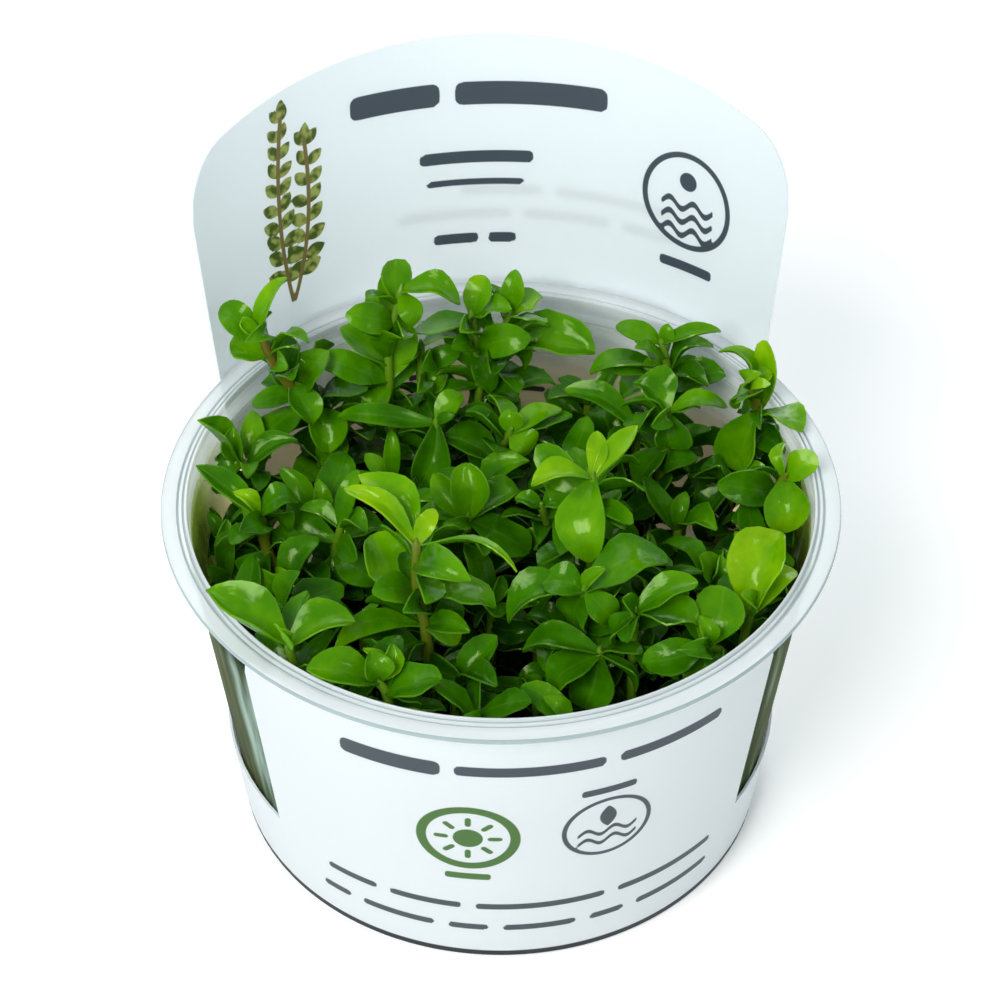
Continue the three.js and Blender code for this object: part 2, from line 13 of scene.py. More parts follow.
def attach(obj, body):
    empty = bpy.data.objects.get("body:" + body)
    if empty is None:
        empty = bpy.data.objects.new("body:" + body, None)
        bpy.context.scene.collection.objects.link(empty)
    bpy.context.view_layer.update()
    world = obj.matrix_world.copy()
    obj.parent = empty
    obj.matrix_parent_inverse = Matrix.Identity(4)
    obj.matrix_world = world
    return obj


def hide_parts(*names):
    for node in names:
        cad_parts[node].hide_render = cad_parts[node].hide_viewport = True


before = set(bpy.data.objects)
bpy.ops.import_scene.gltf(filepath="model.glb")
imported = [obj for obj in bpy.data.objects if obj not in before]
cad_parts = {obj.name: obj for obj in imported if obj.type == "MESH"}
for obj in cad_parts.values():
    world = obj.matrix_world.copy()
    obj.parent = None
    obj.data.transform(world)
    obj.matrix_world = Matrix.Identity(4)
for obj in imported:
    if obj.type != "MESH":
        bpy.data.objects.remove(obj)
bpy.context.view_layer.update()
MM = 0.001


# Camera: looks down on the pot from the front, about as one stands over a table, with a long
# lens. It stands a little to the left of the middle of the sleeve's front panel.
AIM = Vector((0, 0, 56.06 * MM))
STAND_OFF = 496.13 * MM
LOOK_DOWN = math.radians(42.42)
FROM_LEFT = math.radians(2.8)
TILT = math.radians(0.215)

behind = Vector((-math.sin(FROM_LEFT) * math.cos(LOOK_DOWN),
                 -math.cos(FROM_LEFT) * math.cos(LOOK_DOWN),
                 math.sin(LOOK_DOWN)))
facing = Euler((math.pi / 2 - LOOK_DOWN, 0, -FROM_LEFT)).to_matrix() @ Matrix.Rotation(TILT, 3, "Z")
bpy.ops.object.camera_add(location=AIM + behind * STAND_OFF, rotation=facing.to_euler())
camera = bpy.context.object
camera.data.lens = 120
camera.data.sensor_width = 36
camera.data.shift_x = -0.00099
bpy.context.scene.camera = camera


# Studio: a table top of opal white, lit a little from within, that runs out of sight, a bright
# even room, and four soft boxes: a strong one at the front left, two behind, one high and one
# low, and a small one at the right.
def linear(hex_colour):
    """An sRGB hex colour as linear red, green, blue and alpha."""
    parts = [int(hex_colour[i:i + 2], 16) / 255 for i in (1, 3, 5)]
    return [p / 12.92 if p <= 0.04045 else ((p + 0.055) / 1.055) ** 2.4 for p in parts] + [1.0]


def add_node(tree, kind, settings=None, links=None):
    """A shader node with its settings by name or socket, and its inputs linked from nodes or sockets.

    A setting that is text for a socket is a hex colour, and a node stands for the output it has in use.
    """
    node = tree.nodes.new("ShaderNode" + kind)
    for key, value in (settings or {}).items():
        if isinstance(key, str) and hasattr(node, key):
            setattr(node, key, value)
        else:
            node.inputs[key].default_value = linear(value) if isinstance(value, str) else value
    for key, source in (links or {}).items():
        if isinstance(source, bpy.types.Node):
            source = next(socket for socket in source.outputs if socket.enabled)
        tree.links.new(source, node.inputs[key])
    return node


def new_material(name):
    """A named material and its empty node tree."""
    material = bpy.data.materials.new(name)
    material.use_nodes = True
    material.node_tree.nodes.clear()
    return material, material.node_tree


TABLE_GAP = 0.2
bpy.ops.mesh.primitive_plane_add(size=6, location=(0, 0, -TABLE_GAP * MM))
table_top = bpy.context.object
table_top.name = "table_top"
table_paint, tree = new_material("opal_white_table")
matt = add_node(tree, "BsdfPrincipled", {
    "Base Color": "#fdfbf8", "Roughness": 0.85,
    "Emission Color": "#ffffff", "Emission Strength": 0.15,
})
add_node(tree, "OutputMaterial", {}, {0: matt})
table_top.data.materials.append(table_paint)

room = bpy.data.worlds.new("bright_room")
room.use_nodes = True
room.node_tree.nodes["Background"].inputs[0].default_value = linear("#e6f7ff")
room.node_tree.nodes["Background"].inputs[1].default_value = 0.48
bpy.context.scene.world = room
bpy.context.scene.view_settings.view_transform = "Standard"

SOFT_BOXES = [
    # place in metres, size in metres, power in watts
    ((-0.43, -0.64, 0.82), 0.50, 8.8),
    ((-0.15, 0.55, 0.85), 0.50, 1.2),
    ((0.10, 0.90, 0.35), 0.60, 3.4),
    ((0.68, -0.36, 0.70), 0.16, 0.7),
]
for place, size, power in SOFT_BOXES:
    bpy.ops.object.light_add(type="AREA", location=place)
    lamp = bpy.context.object
    lamp.data.shape = "SQUARE"
    lamp.data.size = size
    lamp.data.energy = power
    lamp.rotation_euler = (Vector(place) - AIM).to_track_quat("Z", "Y").to_euler()


# Cup: thin clear polypropylene, moulded in one piece. The wall widens upwards, steps out to a
# short neck, and turns out in a flat grooved rim with a low lip inside, where a lid is sealed.
CUP_SIDES = 144
WALL_FOOT = 1.2
WALL_FOOT_RADIUS = 40.2
WALL_TOP = 54.0
WALL_TOP_RADIUS = 47.0
WALL_RISE = (WALL_TOP_RADIUS - WALL_FOOT_RADIUS) / (WALL_TOP - WALL_FOOT)
CUP_OUTLINE = [
    # radius and height in mm: up the outside, over the rim, and down the inside
    (39.3, 0), (WALL_FOOT_RADIUS, WALL_FOOT), (WALL_TOP_RADIUS, WALL_TOP), (47.9, 54.6), (47.9, 56.6),
    (50.4, 56.6), (50.5, 56.9), (50.3, 57.45), (50.0, 57.5), (48.2, 57.5), (48.1, 57.25), (47.85, 57.25),
    (47.75, 57.55), (47.4, 57.6), (47.3, 57.4), (47.05, 57.4), (46.95, 57.8), (46.8, 57.9), (46.6, 57.85),
    (46.5, 57.4), (46.7, 55.2), (46.2, 54.0), (39.53, 2.0), (38.4, 0.8),
]


def deselect_all():
    """Nothing is selected afterwards, so that an operator acts only on the piece in hand."""
    if bpy.context.object and bpy.context.object.mode != "OBJECT":
        bpy.ops.object.mode_set(mode="OBJECT")
    bpy.ops.object.select_all(action="DESELECT")


def take(piece):
    """Makes a piece the only selected one and the active one."""
    deselect_all()
    piece.select_set(True)
    bpy.context.view_layer.objects.active = piece


deselect_all()
bpy.ops.mesh.primitive_circle_add(vertices=CUP_SIDES, radius=CUP_OUTLINE[0][0] * MM, fill_type="NGON")
cup = bpy.context.object
cup.name = "clear_cup"
bpy.ops.object.mode_set(mode="EDIT")
bpy.ops.mesh.select_all(action="SELECT")
for (r_from, z_from), (r_to, z_to) in zip(CUP_OUTLINE, CUP_OUTLINE[1:]):
    bpy.ops.mesh.extrude_region_move(TRANSFORM_OT_translate={"value": (0, 0, (z_to - z_from) * MM)})
    bpy.ops.transform.resize(value=(r_to / r_from, r_to / r_from, 1), center_override=(0, 0, z_to * MM))
bpy.ops.mesh.select_all(action="SELECT")
bpy.ops.mesh.normals_make_consistent(inside=False)
bpy.ops.object.mode_set(mode="OBJECT")
edges = cup.modifiers.new("rounded_edges", "BEVEL")
edges.width = 0.06 * MM
edges.segments = 2
edges.limit_method = "ANGLE"
edges.angle_limit = math.radians(20)
bpy.ops.object.modifier_apply(modifier="rounded_edges")
bpy.ops.object.shade_smooth_by_angle(angle=math.radians(40))

# Clear polypropylene: the thin wall is see-through with a soft gloss, stronger at a glance, that
# moulding leaves rippled about every 8 mm. Low down, what shows through it is tinted straw.
clear_plastic, tree = new_material("clear_polypropylene")
place = add_node(tree, "TexCoord").outputs
on_wall = add_node(tree, "SeparateXYZ", {}, {0: place["Object"]}).outputs
flow = add_node(tree, "TexNoise", {"Scale": 120.0, "Detail": 2.0}, {"Vector": place["Object"]})
ripple = add_node(tree, "Bump", {"Strength": 0.2, "Distance": 0.3 * MM}, {"Height": flow})
glance = add_node(tree, "LayerWeight", {"Blend": 0.5})
steep = add_node(tree, "Math", {"operation": "POWER", 1: 3.0}, {0: glance.outputs["Facing"]})
clear_haze = add_node(tree, "MapRange", {3: 0.015, 4: 0.03}, {0: steep})
above = add_node(tree, "MapRange", {1: 40 * MM, 2: 55 * MM}, {0: on_wall["Z"]})
low_straw_tint = add_node(tree, "Mix", {"data_type": "RGBA", 6: "#ebdfc4", 7: "#f8faf6"}, {0: above})

# Leaves lie against the wall in the windows. There the wall carries painted shade: an olive film in
# streaks about 4 mm wide and many times as long stands in for the shaded plants and gel seen
# through it. The see-through colour is tinted olive too, and paler streaks are painted highlight.
sideways = add_node(tree, "Math", {"operation": "ABSOLUTE"}, {0: on_wall["X"]})
at_side = add_node(tree, "MapRange", {1: 29 * MM, 2: 36 * MM}, {0: sideways})
in_window = add_node(tree, "MapRange", {1: 8 * MM, 2: 22 * MM, 3: 1.0, 4: 0.0}, {0: on_wall["Y"]})
window_side = add_node(tree, "Math", {"operation": "MULTIPLY"}, {0: at_side, 1: in_window})
below_neck = add_node(tree, "MapRange", {1: 52 * MM, 2: 54 * MM, 3: 1.0, 4: 0.2}, {0: on_wall["Z"]})
side_share = add_node(tree, "Math", {"operation": "MULTIPLY"}, {0: window_side, 1: below_neck})
wall_tint = add_node(tree, "Mix", {"data_type": "RGBA", 7: "#8f9e5c"}, {0: side_share, 6: low_straw_tint})
see_through = add_node(tree, "BsdfTransparent", {}, {"Color": wall_tint})
painted_shade_top = add_node(tree, "MapRange", {1: 45 * MM, 2: 50 * MM, 3: 1.0, 4: 0.0}, {0: on_wall["Z"]})
painted_shade_share = add_node(tree, "Math", {"operation": "MULTIPLY"}, {0: side_share, 1: painted_shade_top})
running = add_node(tree, "Mapping", {"Scale": (1.0, 1.0, 0.08)}, {"Vector": place["Object"]})
streak = add_node(tree, "TexNoise", {"Scale": 260.0, "Detail": 3.0}, {"Vector": running})
runs = add_node(tree, "MapRange", {1: 0.35, 2: 0.65, 3: 0.4, 4: 0.8}, {0: streak})
painted_shade_streaks = add_node(tree, "Math", {"operation": "MULTIPLY"}, {0: painted_shade_share, 1: runs})
olive = add_node(tree, "Mix", {"data_type": "RGBA", 6: "#2e4a06", 7: "#505a0f"}, {0: flow})
painted_highlight_streaks = add_node(tree, "MapRange", {1: 0.58, 2: 0.7, 3: 0.0, 4: 0.6}, {0: streak})
painted_shade_and_highlight = add_node(tree, "Mix", {"data_type": "RGBA", 7: "#86a78f"}, {0: painted_highlight_streaks, 6: olive})

# Beside the front panel, at the left, the olive film turns pale teal in wide streaks of painted
# highlight.
at_left = add_node(tree, "MapRange", {1: -31 * MM, 2: -29 * MM, 3: 1.0, 4: 0.0}, {0: on_wall["X"]})
by_panel = add_node(tree, "MapRange", {1: -23 * MM, 2: -19.5 * MM, 3: 1.0, 4: 0.0}, {0: on_wall["Y"]})
painted_highlight_patch = add_node(tree, "Math", {"operation": "MULTIPLY"}, {0: at_left, 1: by_panel})
painted_highlight_runs = add_node(tree, "MapRange", {1: 0.36, 2: 0.56, 3: 0.1, 4: 0.9}, {0: streak})
painted_highlight_share = add_node(tree, "Math", {"operation": "MULTIPLY"}, {0: painted_highlight_patch, 1: painted_highlight_runs})
painted_window_colour = add_node(tree, "Mix", {"data_type": "RGBA", 7: "#bfe0d2"}, {0: painted_highlight_share, 6: painted_shade_and_highlight})
# This olive film is painted shade, with streaks of painted highlight.
painted_window_film = add_node(tree, "BsdfPrincipled", {"Roughness": 0.5, "IOR": 1.36, "Specular IOR Level": 0.1},
                    {"Base Color": painted_window_colour, "Normal": ripple})
with_painted_window = add_node(tree, "MixShader", {}, {0: painted_shade_streaks, 1: see_through, 2: painted_window_film})

# A milkiness grows towards the neck, but not under the painted olive film.
neck_haze = add_node(tree, "MapRange", {1: 44 * MM, 2: 52 * MM, 3: 0.0, 4: 0.62}, {0: on_wall["Z"]})
wall_haze = add_node(tree, "Math", {"operation": "MULTIPLY"}, {0: neck_haze, 1: below_neck})
off_side = add_node(tree, "Math", {"operation": "SUBTRACT", 0: 1.0}, {1: side_share})
milky_share = add_node(tree, "Math", {"operation": "MULTIPLY"}, {0: wall_haze, 1: off_side})
haze = add_node(tree, "Math", {"operation": "ADD"}, {0: milky_share, 1: clear_haze})
whiteness = add_node(tree, "MapRange", {1: 0.0, 2: 0.15}, {0: milky_share})
body = add_node(tree, "Mix", {"data_type": "RGBA", 6: "#2c3430", 7: "#eef4f1"}, {0: whiteness})
gloss = add_node(tree, "BsdfPrincipled", {"Roughness": 0.14, "IOR": 1.49, "Specular IOR Level": 1.0},
                 {"Base Color": body, "Normal": ripple})
wall_mix = add_node(tree, "MixShader", {}, {0: haze, 1: with_painted_window, 2: gloss})
add_node(tree, "OutputMaterial", {}, {0: wall_mix})

# Milky polypropylene: the neck and rim are thicker and look milky white, with the same ripple as
# the wall, and light from behind passes the neck and brightens it.
milky_plastic, tree = new_material("milky_polypropylene")
place = add_node(tree, "TexCoord").outputs
in_plastic = add_node(tree, "SeparateXYZ", {}, {0: place["Object"]}).outputs
flow = add_node(tree, "TexNoise", {"Scale": 120.0, "Detail": 2.0}, {"Vector": place["Object"]})
ripple = add_node(tree, "Bump", {"Strength": 0.12, "Distance": 0.2 * MM}, {"Height": flow})
milk = add_node(tree, "BsdfPrincipled", {"Base Color": "#f3f5f6", "Roughness": 0.2, "IOR": 1.49},
                {"Normal": ripple})
see_through = add_node(tree, "BsdfTransparent", {"Color": "#f6f9f8"})
glowing = add_node(tree, "BsdfTranslucent", {"Color": "#f6f9f8"})
to_rim = add_node(tree, "MapRange", {1: 56.3 * MM, 2: 56.9 * MM}, {0: in_plastic["Z"]})
milkiness = add_node(tree, "MapRange", {3: 0.8, 4: 0.58}, {0: to_rim})
neck_glow = add_node(tree, "MapRange", {3: 0.55, 4: 0.0}, {0: to_rim})
lit_milk = add_node(tree, "MixShader", {}, {0: neck_glow, 1: milk, 2: glowing})
rim_mix = add_node(tree, "MixShader", {}, {0: milkiness, 1: see_through, 2: lit_milk})
add_node(tree, "OutputMaterial", {}, {0: rim_mix})

# Painted shade: in the grooves and on the rim's outer edge the plastic is painted darker and a
# little blue-green, for the shade that lies there.
painted_shade_plastic, tree = new_material("polypropylene_painted_shade")
place = add_node(tree, "TexCoord").outputs
flow = add_node(tree, "TexNoise", {"Scale": 120.0, "Detail": 2.0}, {"Vector": place["Object"]})
painted_groove_shade = add_node(tree, "Mix", {"data_type": "RGBA", 6: "#8fa0a2", 7: "#acbabb"}, {0: flow})
painted_shade_edge = add_node(tree, "BsdfPrincipled", {"Roughness": 0.22, "IOR": 1.49}, {"Base Color": painted_groove_shade})
add_node(tree, "OutputMaterial", {}, {0: painted_shade_edge})

# The neck's outer wall stays clear, so that the milky inner wall shows through it.
NECK_FOOT = 53.9
NECK_TOP = 56.55
NECK_OUTSIDE = (47.2, 48.0)
GROOVES = [(47.03, 47.33), (47.83, 48.13)]
GROOVE_HEIGHTS = (57.0, 57.48)
RIM_EDGE_RADIUS = 50.36
RIM_EDGE_TOP = 57.3
cup.data.materials.clear()
for material in (clear_plastic, milky_plastic, painted_shade_plastic):
    cup.data.materials.append(material)
for face in cup.data.polygons:
    radius, height = math.hypot(face.center.x, face.center.y) / MM, face.center.z / MM
    outer_neck = NECK_OUTSIDE[0] < radius < NECK_OUTSIDE[1] and height < NECK_TOP
    in_groove = (GROOVE_HEIGHTS[0] < height < GROOVE_HEIGHTS[1]
                 and any(low < radius < high for low, high in GROOVES))
    at_edge = radius > RIM_EDGE_RADIUS and height < RIM_EDGE_TOP
    if height > NECK_FOOT and not outer_neck:
        # The grooves and the rim's outer edge take the painted shade.
        face.material_index = 2 if in_groove or at_edge else 1
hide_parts("cup")
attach(cup, "root")


# Sleeve: one sheet of white polypropylene, 0.4 mm thick, die-cut and printed flat, then wrapped
# round the cup. The front panel ends under the rim, a window is left open at each side, and the
# tall back panel leans out behind the rim and ends in a broad rounded crest.
SHEET = 0.4
WALL_GAP = 0.3
SLEEVE_FOOT = 0.2
BAND_TOP = 15.0
FRONT_HALF = 54.0
FRONT_TOP = 53.6
FRONT_CORNER = 4.2
WINDOW_END = 124.0
WINDOW_CORNER = 5.0
LEAN_START = 12.0
LEAN = 0.2
CREST_TOP = 98.8
CREST_HALF = 52.3
CREST_ARC = 172.0
CREST_CORNER = 8.0
NARROWING = 0.105
NARROW_FROM = 55.0


def points_of(part):
    """A part's mesh points, as rows of x, y and z in metres."""
    spots = np.zeros(len(part.data.vertices) * 3)
    part.data.vertices.foreach_get("co", spots)
    return spots.reshape(-1, 3)


def keep_values(part, name, values):
    """Keeps a value on each of a part's points, for its material to read by name."""
    layer = part.data.attributes.new(name, "FLOAT", "POINT")
    layer.data.foreach_set("value", np.asarray(values, dtype=float))


def join(parts):
    """Joins parts into the first of them."""
    take(parts[0])
    for part in parts:
        part.select_set(True)
    bpy.ops.object.join()
    return parts[0]


def sheet_radius(z, at_back):
    """Outer radius of the sheet in mm at a height: along the cup's wall, but leaning off it at the back."""
    on_wall = np.minimum(z, LEAN_START) if at_back else z
    radius = WALL_FOOT_RADIUS + WALL_RISE * (on_wall - WALL_FOOT) + WALL_GAP + SHEET
    return radius + LEAN * np.maximum(z - LEAN_START, 0) if at_back else radius


def corner_drop(away, radius):
    """How far a rounded corner falls at a distance from its straight side."""
    run = np.clip(radius - away, 0, radius)
    return radius - np.sqrt(radius * radius - run * run)


def crest_edge(across):
    """Height of the back panel's top edge, from 0 in the middle to 1 at the side."""
    arc = across * CREST_HALF
    bow = CREST_ARC - np.sqrt(CREST_ARC ** 2 - arc ** 2)
    return CREST_TOP - bow - corner_drop(CREST_HALF - arc, CREST_CORNER)


def lay_sheet(name, columns, rows, place_on_sheet):
    """A grid laid on the cup: place_on_sheet turns 0 to 1 across and up into angle, height and radius."""
    deselect_all()
    bpy.ops.mesh.primitive_grid_add(x_subdivisions=columns, y_subdivisions=rows, size=1)
    part = bpy.context.object
    part.name = name
    across, up, _ = points_of(part).T + 0.5
    angle, z, radius = place_on_sheet(across, up)
    turned = np.radians(angle)
    spots = np.stack([radius * np.sin(turned), -radius * np.cos(turned), z], axis=1) * MM
    part.data.vertices.foreach_set("co", spots.ravel())
    return part


def print_place(part, facing=-1):
    """Each point's place on the flat sheet in mm: along from the panel's middle, and up."""
    x, y, z = points_of(part).T / MM
    return np.arctan2(x, facing * y) * np.hypot(x, y), z


def refine(part, areas, facing=-1):
    """Halves the grid inside areas of left, right, low and high in mm, for fine print."""
    arc, z = print_place(part, facing)
    corners = np.zeros(len(part.data.loops), dtype=int)
    part.data.loops.foreach_get("vertex_index", corners)
    corners = corners.reshape(-1, 4)
    arc, z = arc[corners].mean(axis=1), z[corners].mean(axis=1)
    chosen = np.zeros(len(corners), dtype=bool)
    for left, right, low, high in areas:
        chosen |= (arc > left) & (arc < right) & (z > low) & (z < high)
    take(part)
    bpy.ops.object.mode_set(mode="EDIT")
    bpy.ops.mesh.select_all(action="DESELECT")
    bpy.ops.object.mode_set(mode="OBJECT")
    part.data.polygons.foreach_set("select", chosen)
    bpy.ops.object.mode_set(mode="EDIT")
    bpy.ops.mesh.select_mode(type="FACE")
    bpy.ops.mesh.subdivide(number_cuts=1)
    bpy.ops.object.mode_set(mode="OBJECT")


# The print is blank word bars, rings with waves, sun or leaf, and a sprig: plain marks of the
# size and colour of a plant label's, with no lettering. Every shape is a distance to its edge in
# mm, below 0 inside, and every ink keeps its own.
INKS = ["front_grey", "front_green", "crest_grey", "sprig_leaf", "sprig_stem", "rear_grey"]
UNPRINTED = 9.0
BAR_CORNER = 0.32
WAVE_HEIGHT = 0.7
WAVE_TURN = 1.5
WAVE_SLOPE = 0.8
# Height of a navy band round the sleeve's foot: painted shade, for the dark shade at the cup's foot.
FOOT_SHADE_HEIGHT = 1.2


def print_on(part, inks):
    """Keeps each ink's distances on the part's points, and those of the painted shade round its foot."""
    height = points_of(part)[:, 2] / MM
    for ink in INKS:
        keep_values(part, ink, inks.get(ink, np.full_like(height, UNPRINTED)))
    keep_values(part, "painted_foot_shade", height - SLEEVE_FOOT - FOOT_SHADE_HEIGHT)


def bar(arc, z, left, right, low, high, corner):
    """A rounded bar."""
    dx = np.abs(arc - (left + right) / 2) - (right - left) / 2 + corner
    dz = np.abs(z - (low + high) / 2) - (high - low) / 2 + corner
    return np.hypot(np.maximum(dx, 0), np.maximum(dz, 0)) + np.minimum(np.maximum(dx, dz), 0) - corner


def words(arc, z, left, low, high, lengths, space):
    """A line of blank word bars, from the left."""
    near = np.full_like(z, UNPRINTED)
    for length in lengths:
        near = np.minimum(near, bar(arc, z, left, left + length, low, high, BAR_CORNER * (high - low)))
        left += length + space
    return near


def dot(arc, z, across, up, radius):
    """A filled circle."""
    return np.hypot(arc - across, z - up) - radius


def ring(arc, z, across, up, radius, stroke):
    """A circle outline."""
    return np.abs(dot(arc, z, across, up, radius)) - stroke / 2


def stroke_between(arc, z, start, end, stroke):
    """A straight stroke with round ends."""
    (x0, z0), (x1, z1) = start, end
    run = np.clip(((arc - x0) * (x1 - x0) + (z - z0) * (z1 - z0)) / ((x1 - x0) ** 2 + (z1 - z0) ** 2), 0, 1)
    return np.hypot(arc - x0 - run * (x1 - x0), z - z0 - run * (z1 - z0)) - stroke / 2


def waves(arc, z, across, up, half, stroke):
    """A short wavy stroke, measured less where it slopes, so that it keeps its width."""
    line = np.abs(z - up - WAVE_HEIGHT * np.sin((arc - across) * WAVE_TURN)) * WAVE_SLOPE - stroke / 2
    return np.maximum(line, np.abs(arc - across) - half)


def leaf_mark(arc, z, base, toward, length, width):
    """A pointed oval leaf, drawn flat, from its base in a direction in degrees from upright."""
    lean = math.radians(toward)
    along = (arc - base[0]) * math.sin(lean) + (z - base[1]) * math.cos(lean)
    aside = (arc - base[0]) * math.cos(lean) - (z - base[1]) * math.sin(lean)
    half = width / 2 * np.sin(np.pi * np.clip(along / length, 0, 1)) ** 0.8
    return np.maximum(np.abs(aside) - half, np.maximum(-along, along - length))


def on_curve(share, start, bend, end):
    """A place on a smooth curve, at a share of the way from its start to its end."""
    return tuple((1 - share) ** 2 * a + 2 * share * (1 - share) * b + share * share * c
                 for a, b, c in zip(start, bend, end))


# The panels' grids: rows up the low band, then rows above it, and columns across.
BAND_ROWS = 20
FRONT_ROWS = 55
BACK_ROWS = 110
FRONT_COLUMNS = 131
BACK_COLUMNS = 132
SILL_COLUMNS = 28
WINDOW_CORNER_SHARE = 0.08


def front_place(across, up):
    """The front panel: angle, height and radius, from 0 to 1 across and up."""
    angle = -FRONT_HALF + 2 * FRONT_HALF * across
    rows = up * (BAND_ROWS + FRONT_ROWS)
    side = np.radians(FRONT_HALF - np.abs(angle)) * sheet_radius(FRONT_TOP, False)
    top = FRONT_TOP - corner_drop(side, FRONT_CORNER)
    z = np.where(rows <= BAND_ROWS, SLEEVE_FOOT + (BAND_TOP - SLEEVE_FOOT) * rows / BAND_ROWS,
                 BAND_TOP + (top - BAND_TOP) * (rows - BAND_ROWS) / FRONT_ROWS)
    return angle, z, sheet_radius(z, False)


def window_sill(hand):
    """The low band under a side window, at the right for hand 1 and the left for hand -1.

    Its columns stand closer near the back panel, where it begins to lean.
    """
    def place_on_sheet(across, up):
        angle = WINDOW_END - (WINDOW_END - FRONT_HALF) * (1 - across) ** 1.8
        side = np.radians(WINDOW_END - angle) * sheet_radius(BAND_TOP, False)
        z = SLEEVE_FOOT + (BAND_TOP + corner_drop(side, WINDOW_CORNER) - SLEEVE_FOOT) * up
        lean = sheet_radius(z, True) - sheet_radius(z, False)
        return angle * hand, z, sheet_radius(z, False) + lean * across ** 6
    return place_on_sheet


def back_place(across, up):
    """The back panel, from its left side to its right as seen from the front."""
    sideways = 2 * across - 1
    rows = up * (BAND_ROWS + BACK_ROWS)
    side_share = np.clip(1 - (1 - np.abs(sideways)) / WINDOW_CORNER_SHARE, 0, 1)
    band_top = BAND_TOP + WINDOW_CORNER * side_share ** 3
    top = crest_edge(np.abs(sideways))
    z = np.where(rows <= BAND_ROWS, SLEEVE_FOOT + (band_top - SLEEVE_FOOT) * rows / BAND_ROWS,
                 band_top + (top - band_top) * (rows - BAND_ROWS) / BACK_ROWS)
    half = 180 - WINDOW_END - NARROWING * np.maximum(z - NARROW_FROM, 0)
    return 180 - sideways * half, z, sheet_radius(z, True)


# Outside the front panel: a title, a sun in a green ring, a leaf over waves in a grey one, each
# with a caption, and two small lines at the foot.
SUN = (-6.8, 30.6)
POND = (13.8, 30.6)
front = lay_sheet("front_panel", FRONT_COLUMNS, BAND_ROWS + FRONT_ROWS, front_place)
refine(front, [(-15, 22, 19, 43)])
arc, z = print_place(front)
rays = [(math.sin(math.radians(turn)), math.cos(math.radians(turn))) for turn in range(0, 360, 45)]
print_on(front, {
    "front_grey": np.minimum.reduce([
        words(arc, z, -26.0, 45.2, 48.5, [15.2], 2),
        words(arc, z, -8.8, 45.8, 48.0, [21.8, 17.3], 2.2),
        words(arc, z, -29.5, 12.5, 13.9, [8.5, 11.0, 19.5, 17.5], 2.2),
        words(arc, z, -30.6, 7.0, 8.4, [5.0, 11.5, 6.0, 11.0, 5.5, 14.0], 2.2),
        words(arc, z, 9.6, 38.9, 40.4, [8.4], 1),
        ring(arc, z, *POND, 6.6, 0.75),
        waves(arc, z, POND[0], 29.6, 4.6, 0.7),
        waves(arc, z, POND[0], 27.4, 4.6, 0.7),
        leaf_mark(arc, z, POND, 0, 5.0, 2.6),
    ]),
    "front_green": np.minimum.reduce([
        ring(arc, z, *SUN, 6.9, 1.5),
        dot(arc, z, *SUN, 2.2),
        words(arc, z, -10.2, 20.2, 21.7, [6.8], 1),
        *(stroke_between(arc, z, (SUN[0] + 3.3 * x, SUN[1] + 3.3 * y),
                         (SUN[0] + 4.6 * x, SUN[1] + 4.6 * y), 0.9) for x, y in rays),
    ]),
})

sills = []
for hand, name in ((1, "right_sill"), (-1, "left_sill")):
    sills.append(lay_sheet(name, SILL_COLUMNS, BAND_ROWS, window_sill(hand)))
    print_on(sills[-1], {})

# Inside the crest: a title, three lines, a ring with waves and a caption, two lines that the
# shoots hide in part, and a sprig of two stems, each from its foot by a bend to its top, with
# pairs of leaves. Outside it: rows of small words, as height and word lengths.
CREST_POND = (33.2, 76.2)
SPRIG = [
    ((-33.0, 61.5), (-36.0, 76.0), (-33.5, 91.5), 10),
    ((-32.6, 61.5), (-28.0, 72.0), (-29.5, 86.5), 8),
]
ROWS_BEHIND = [
    (72.0, [20, 13]), (68.0, [9, 14, 18]), (56.0, [14, 9, 21, 12]), (52.8, [8, 18, 12, 16]),
    (49.6, [19, 11, 9, 14]), (46.4, [11, 16, 8, 17]), (43.2, [16, 12, 14]), (37.0, [10, 22, 13]),
    (33.8, [18, 9, 15]), (30.6, [12, 14]),
]
back = lay_sheet("back_panel", BACK_COLUMNS, BAND_ROWS + BACK_ROWS, back_place)
refine(back, [(-43, -21, 59, 97), (23, 43, 62, 86)], facing=1)
arc, z = print_place(back, facing=1)
stems, leaves = [], []
for foot, bend, top, pairs in SPRIG:
    line = [on_curve(step / 12, foot, bend, top) for step in range(13)]
    stems += [stroke_between(arc, z, *ends, 0.7) for ends in zip(line, line[1:])]
    for pair in range(pairs):
        spot = on_curve((pair + 1.4) / (pairs + 0.6), foot, bend, top)
        for toward in (-66, 66):
            lean = toward - 4 * pair * np.sign(toward) + 12 * math.sin(5 * pair + toward)
            leaves.append(leaf_mark(arc, z, spot, lean, 4.1 - 0.14 * pair, 2.4 - 0.08 * pair))
    leaves.append(leaf_mark(arc, z, top, 5, 3.0, 1.6))
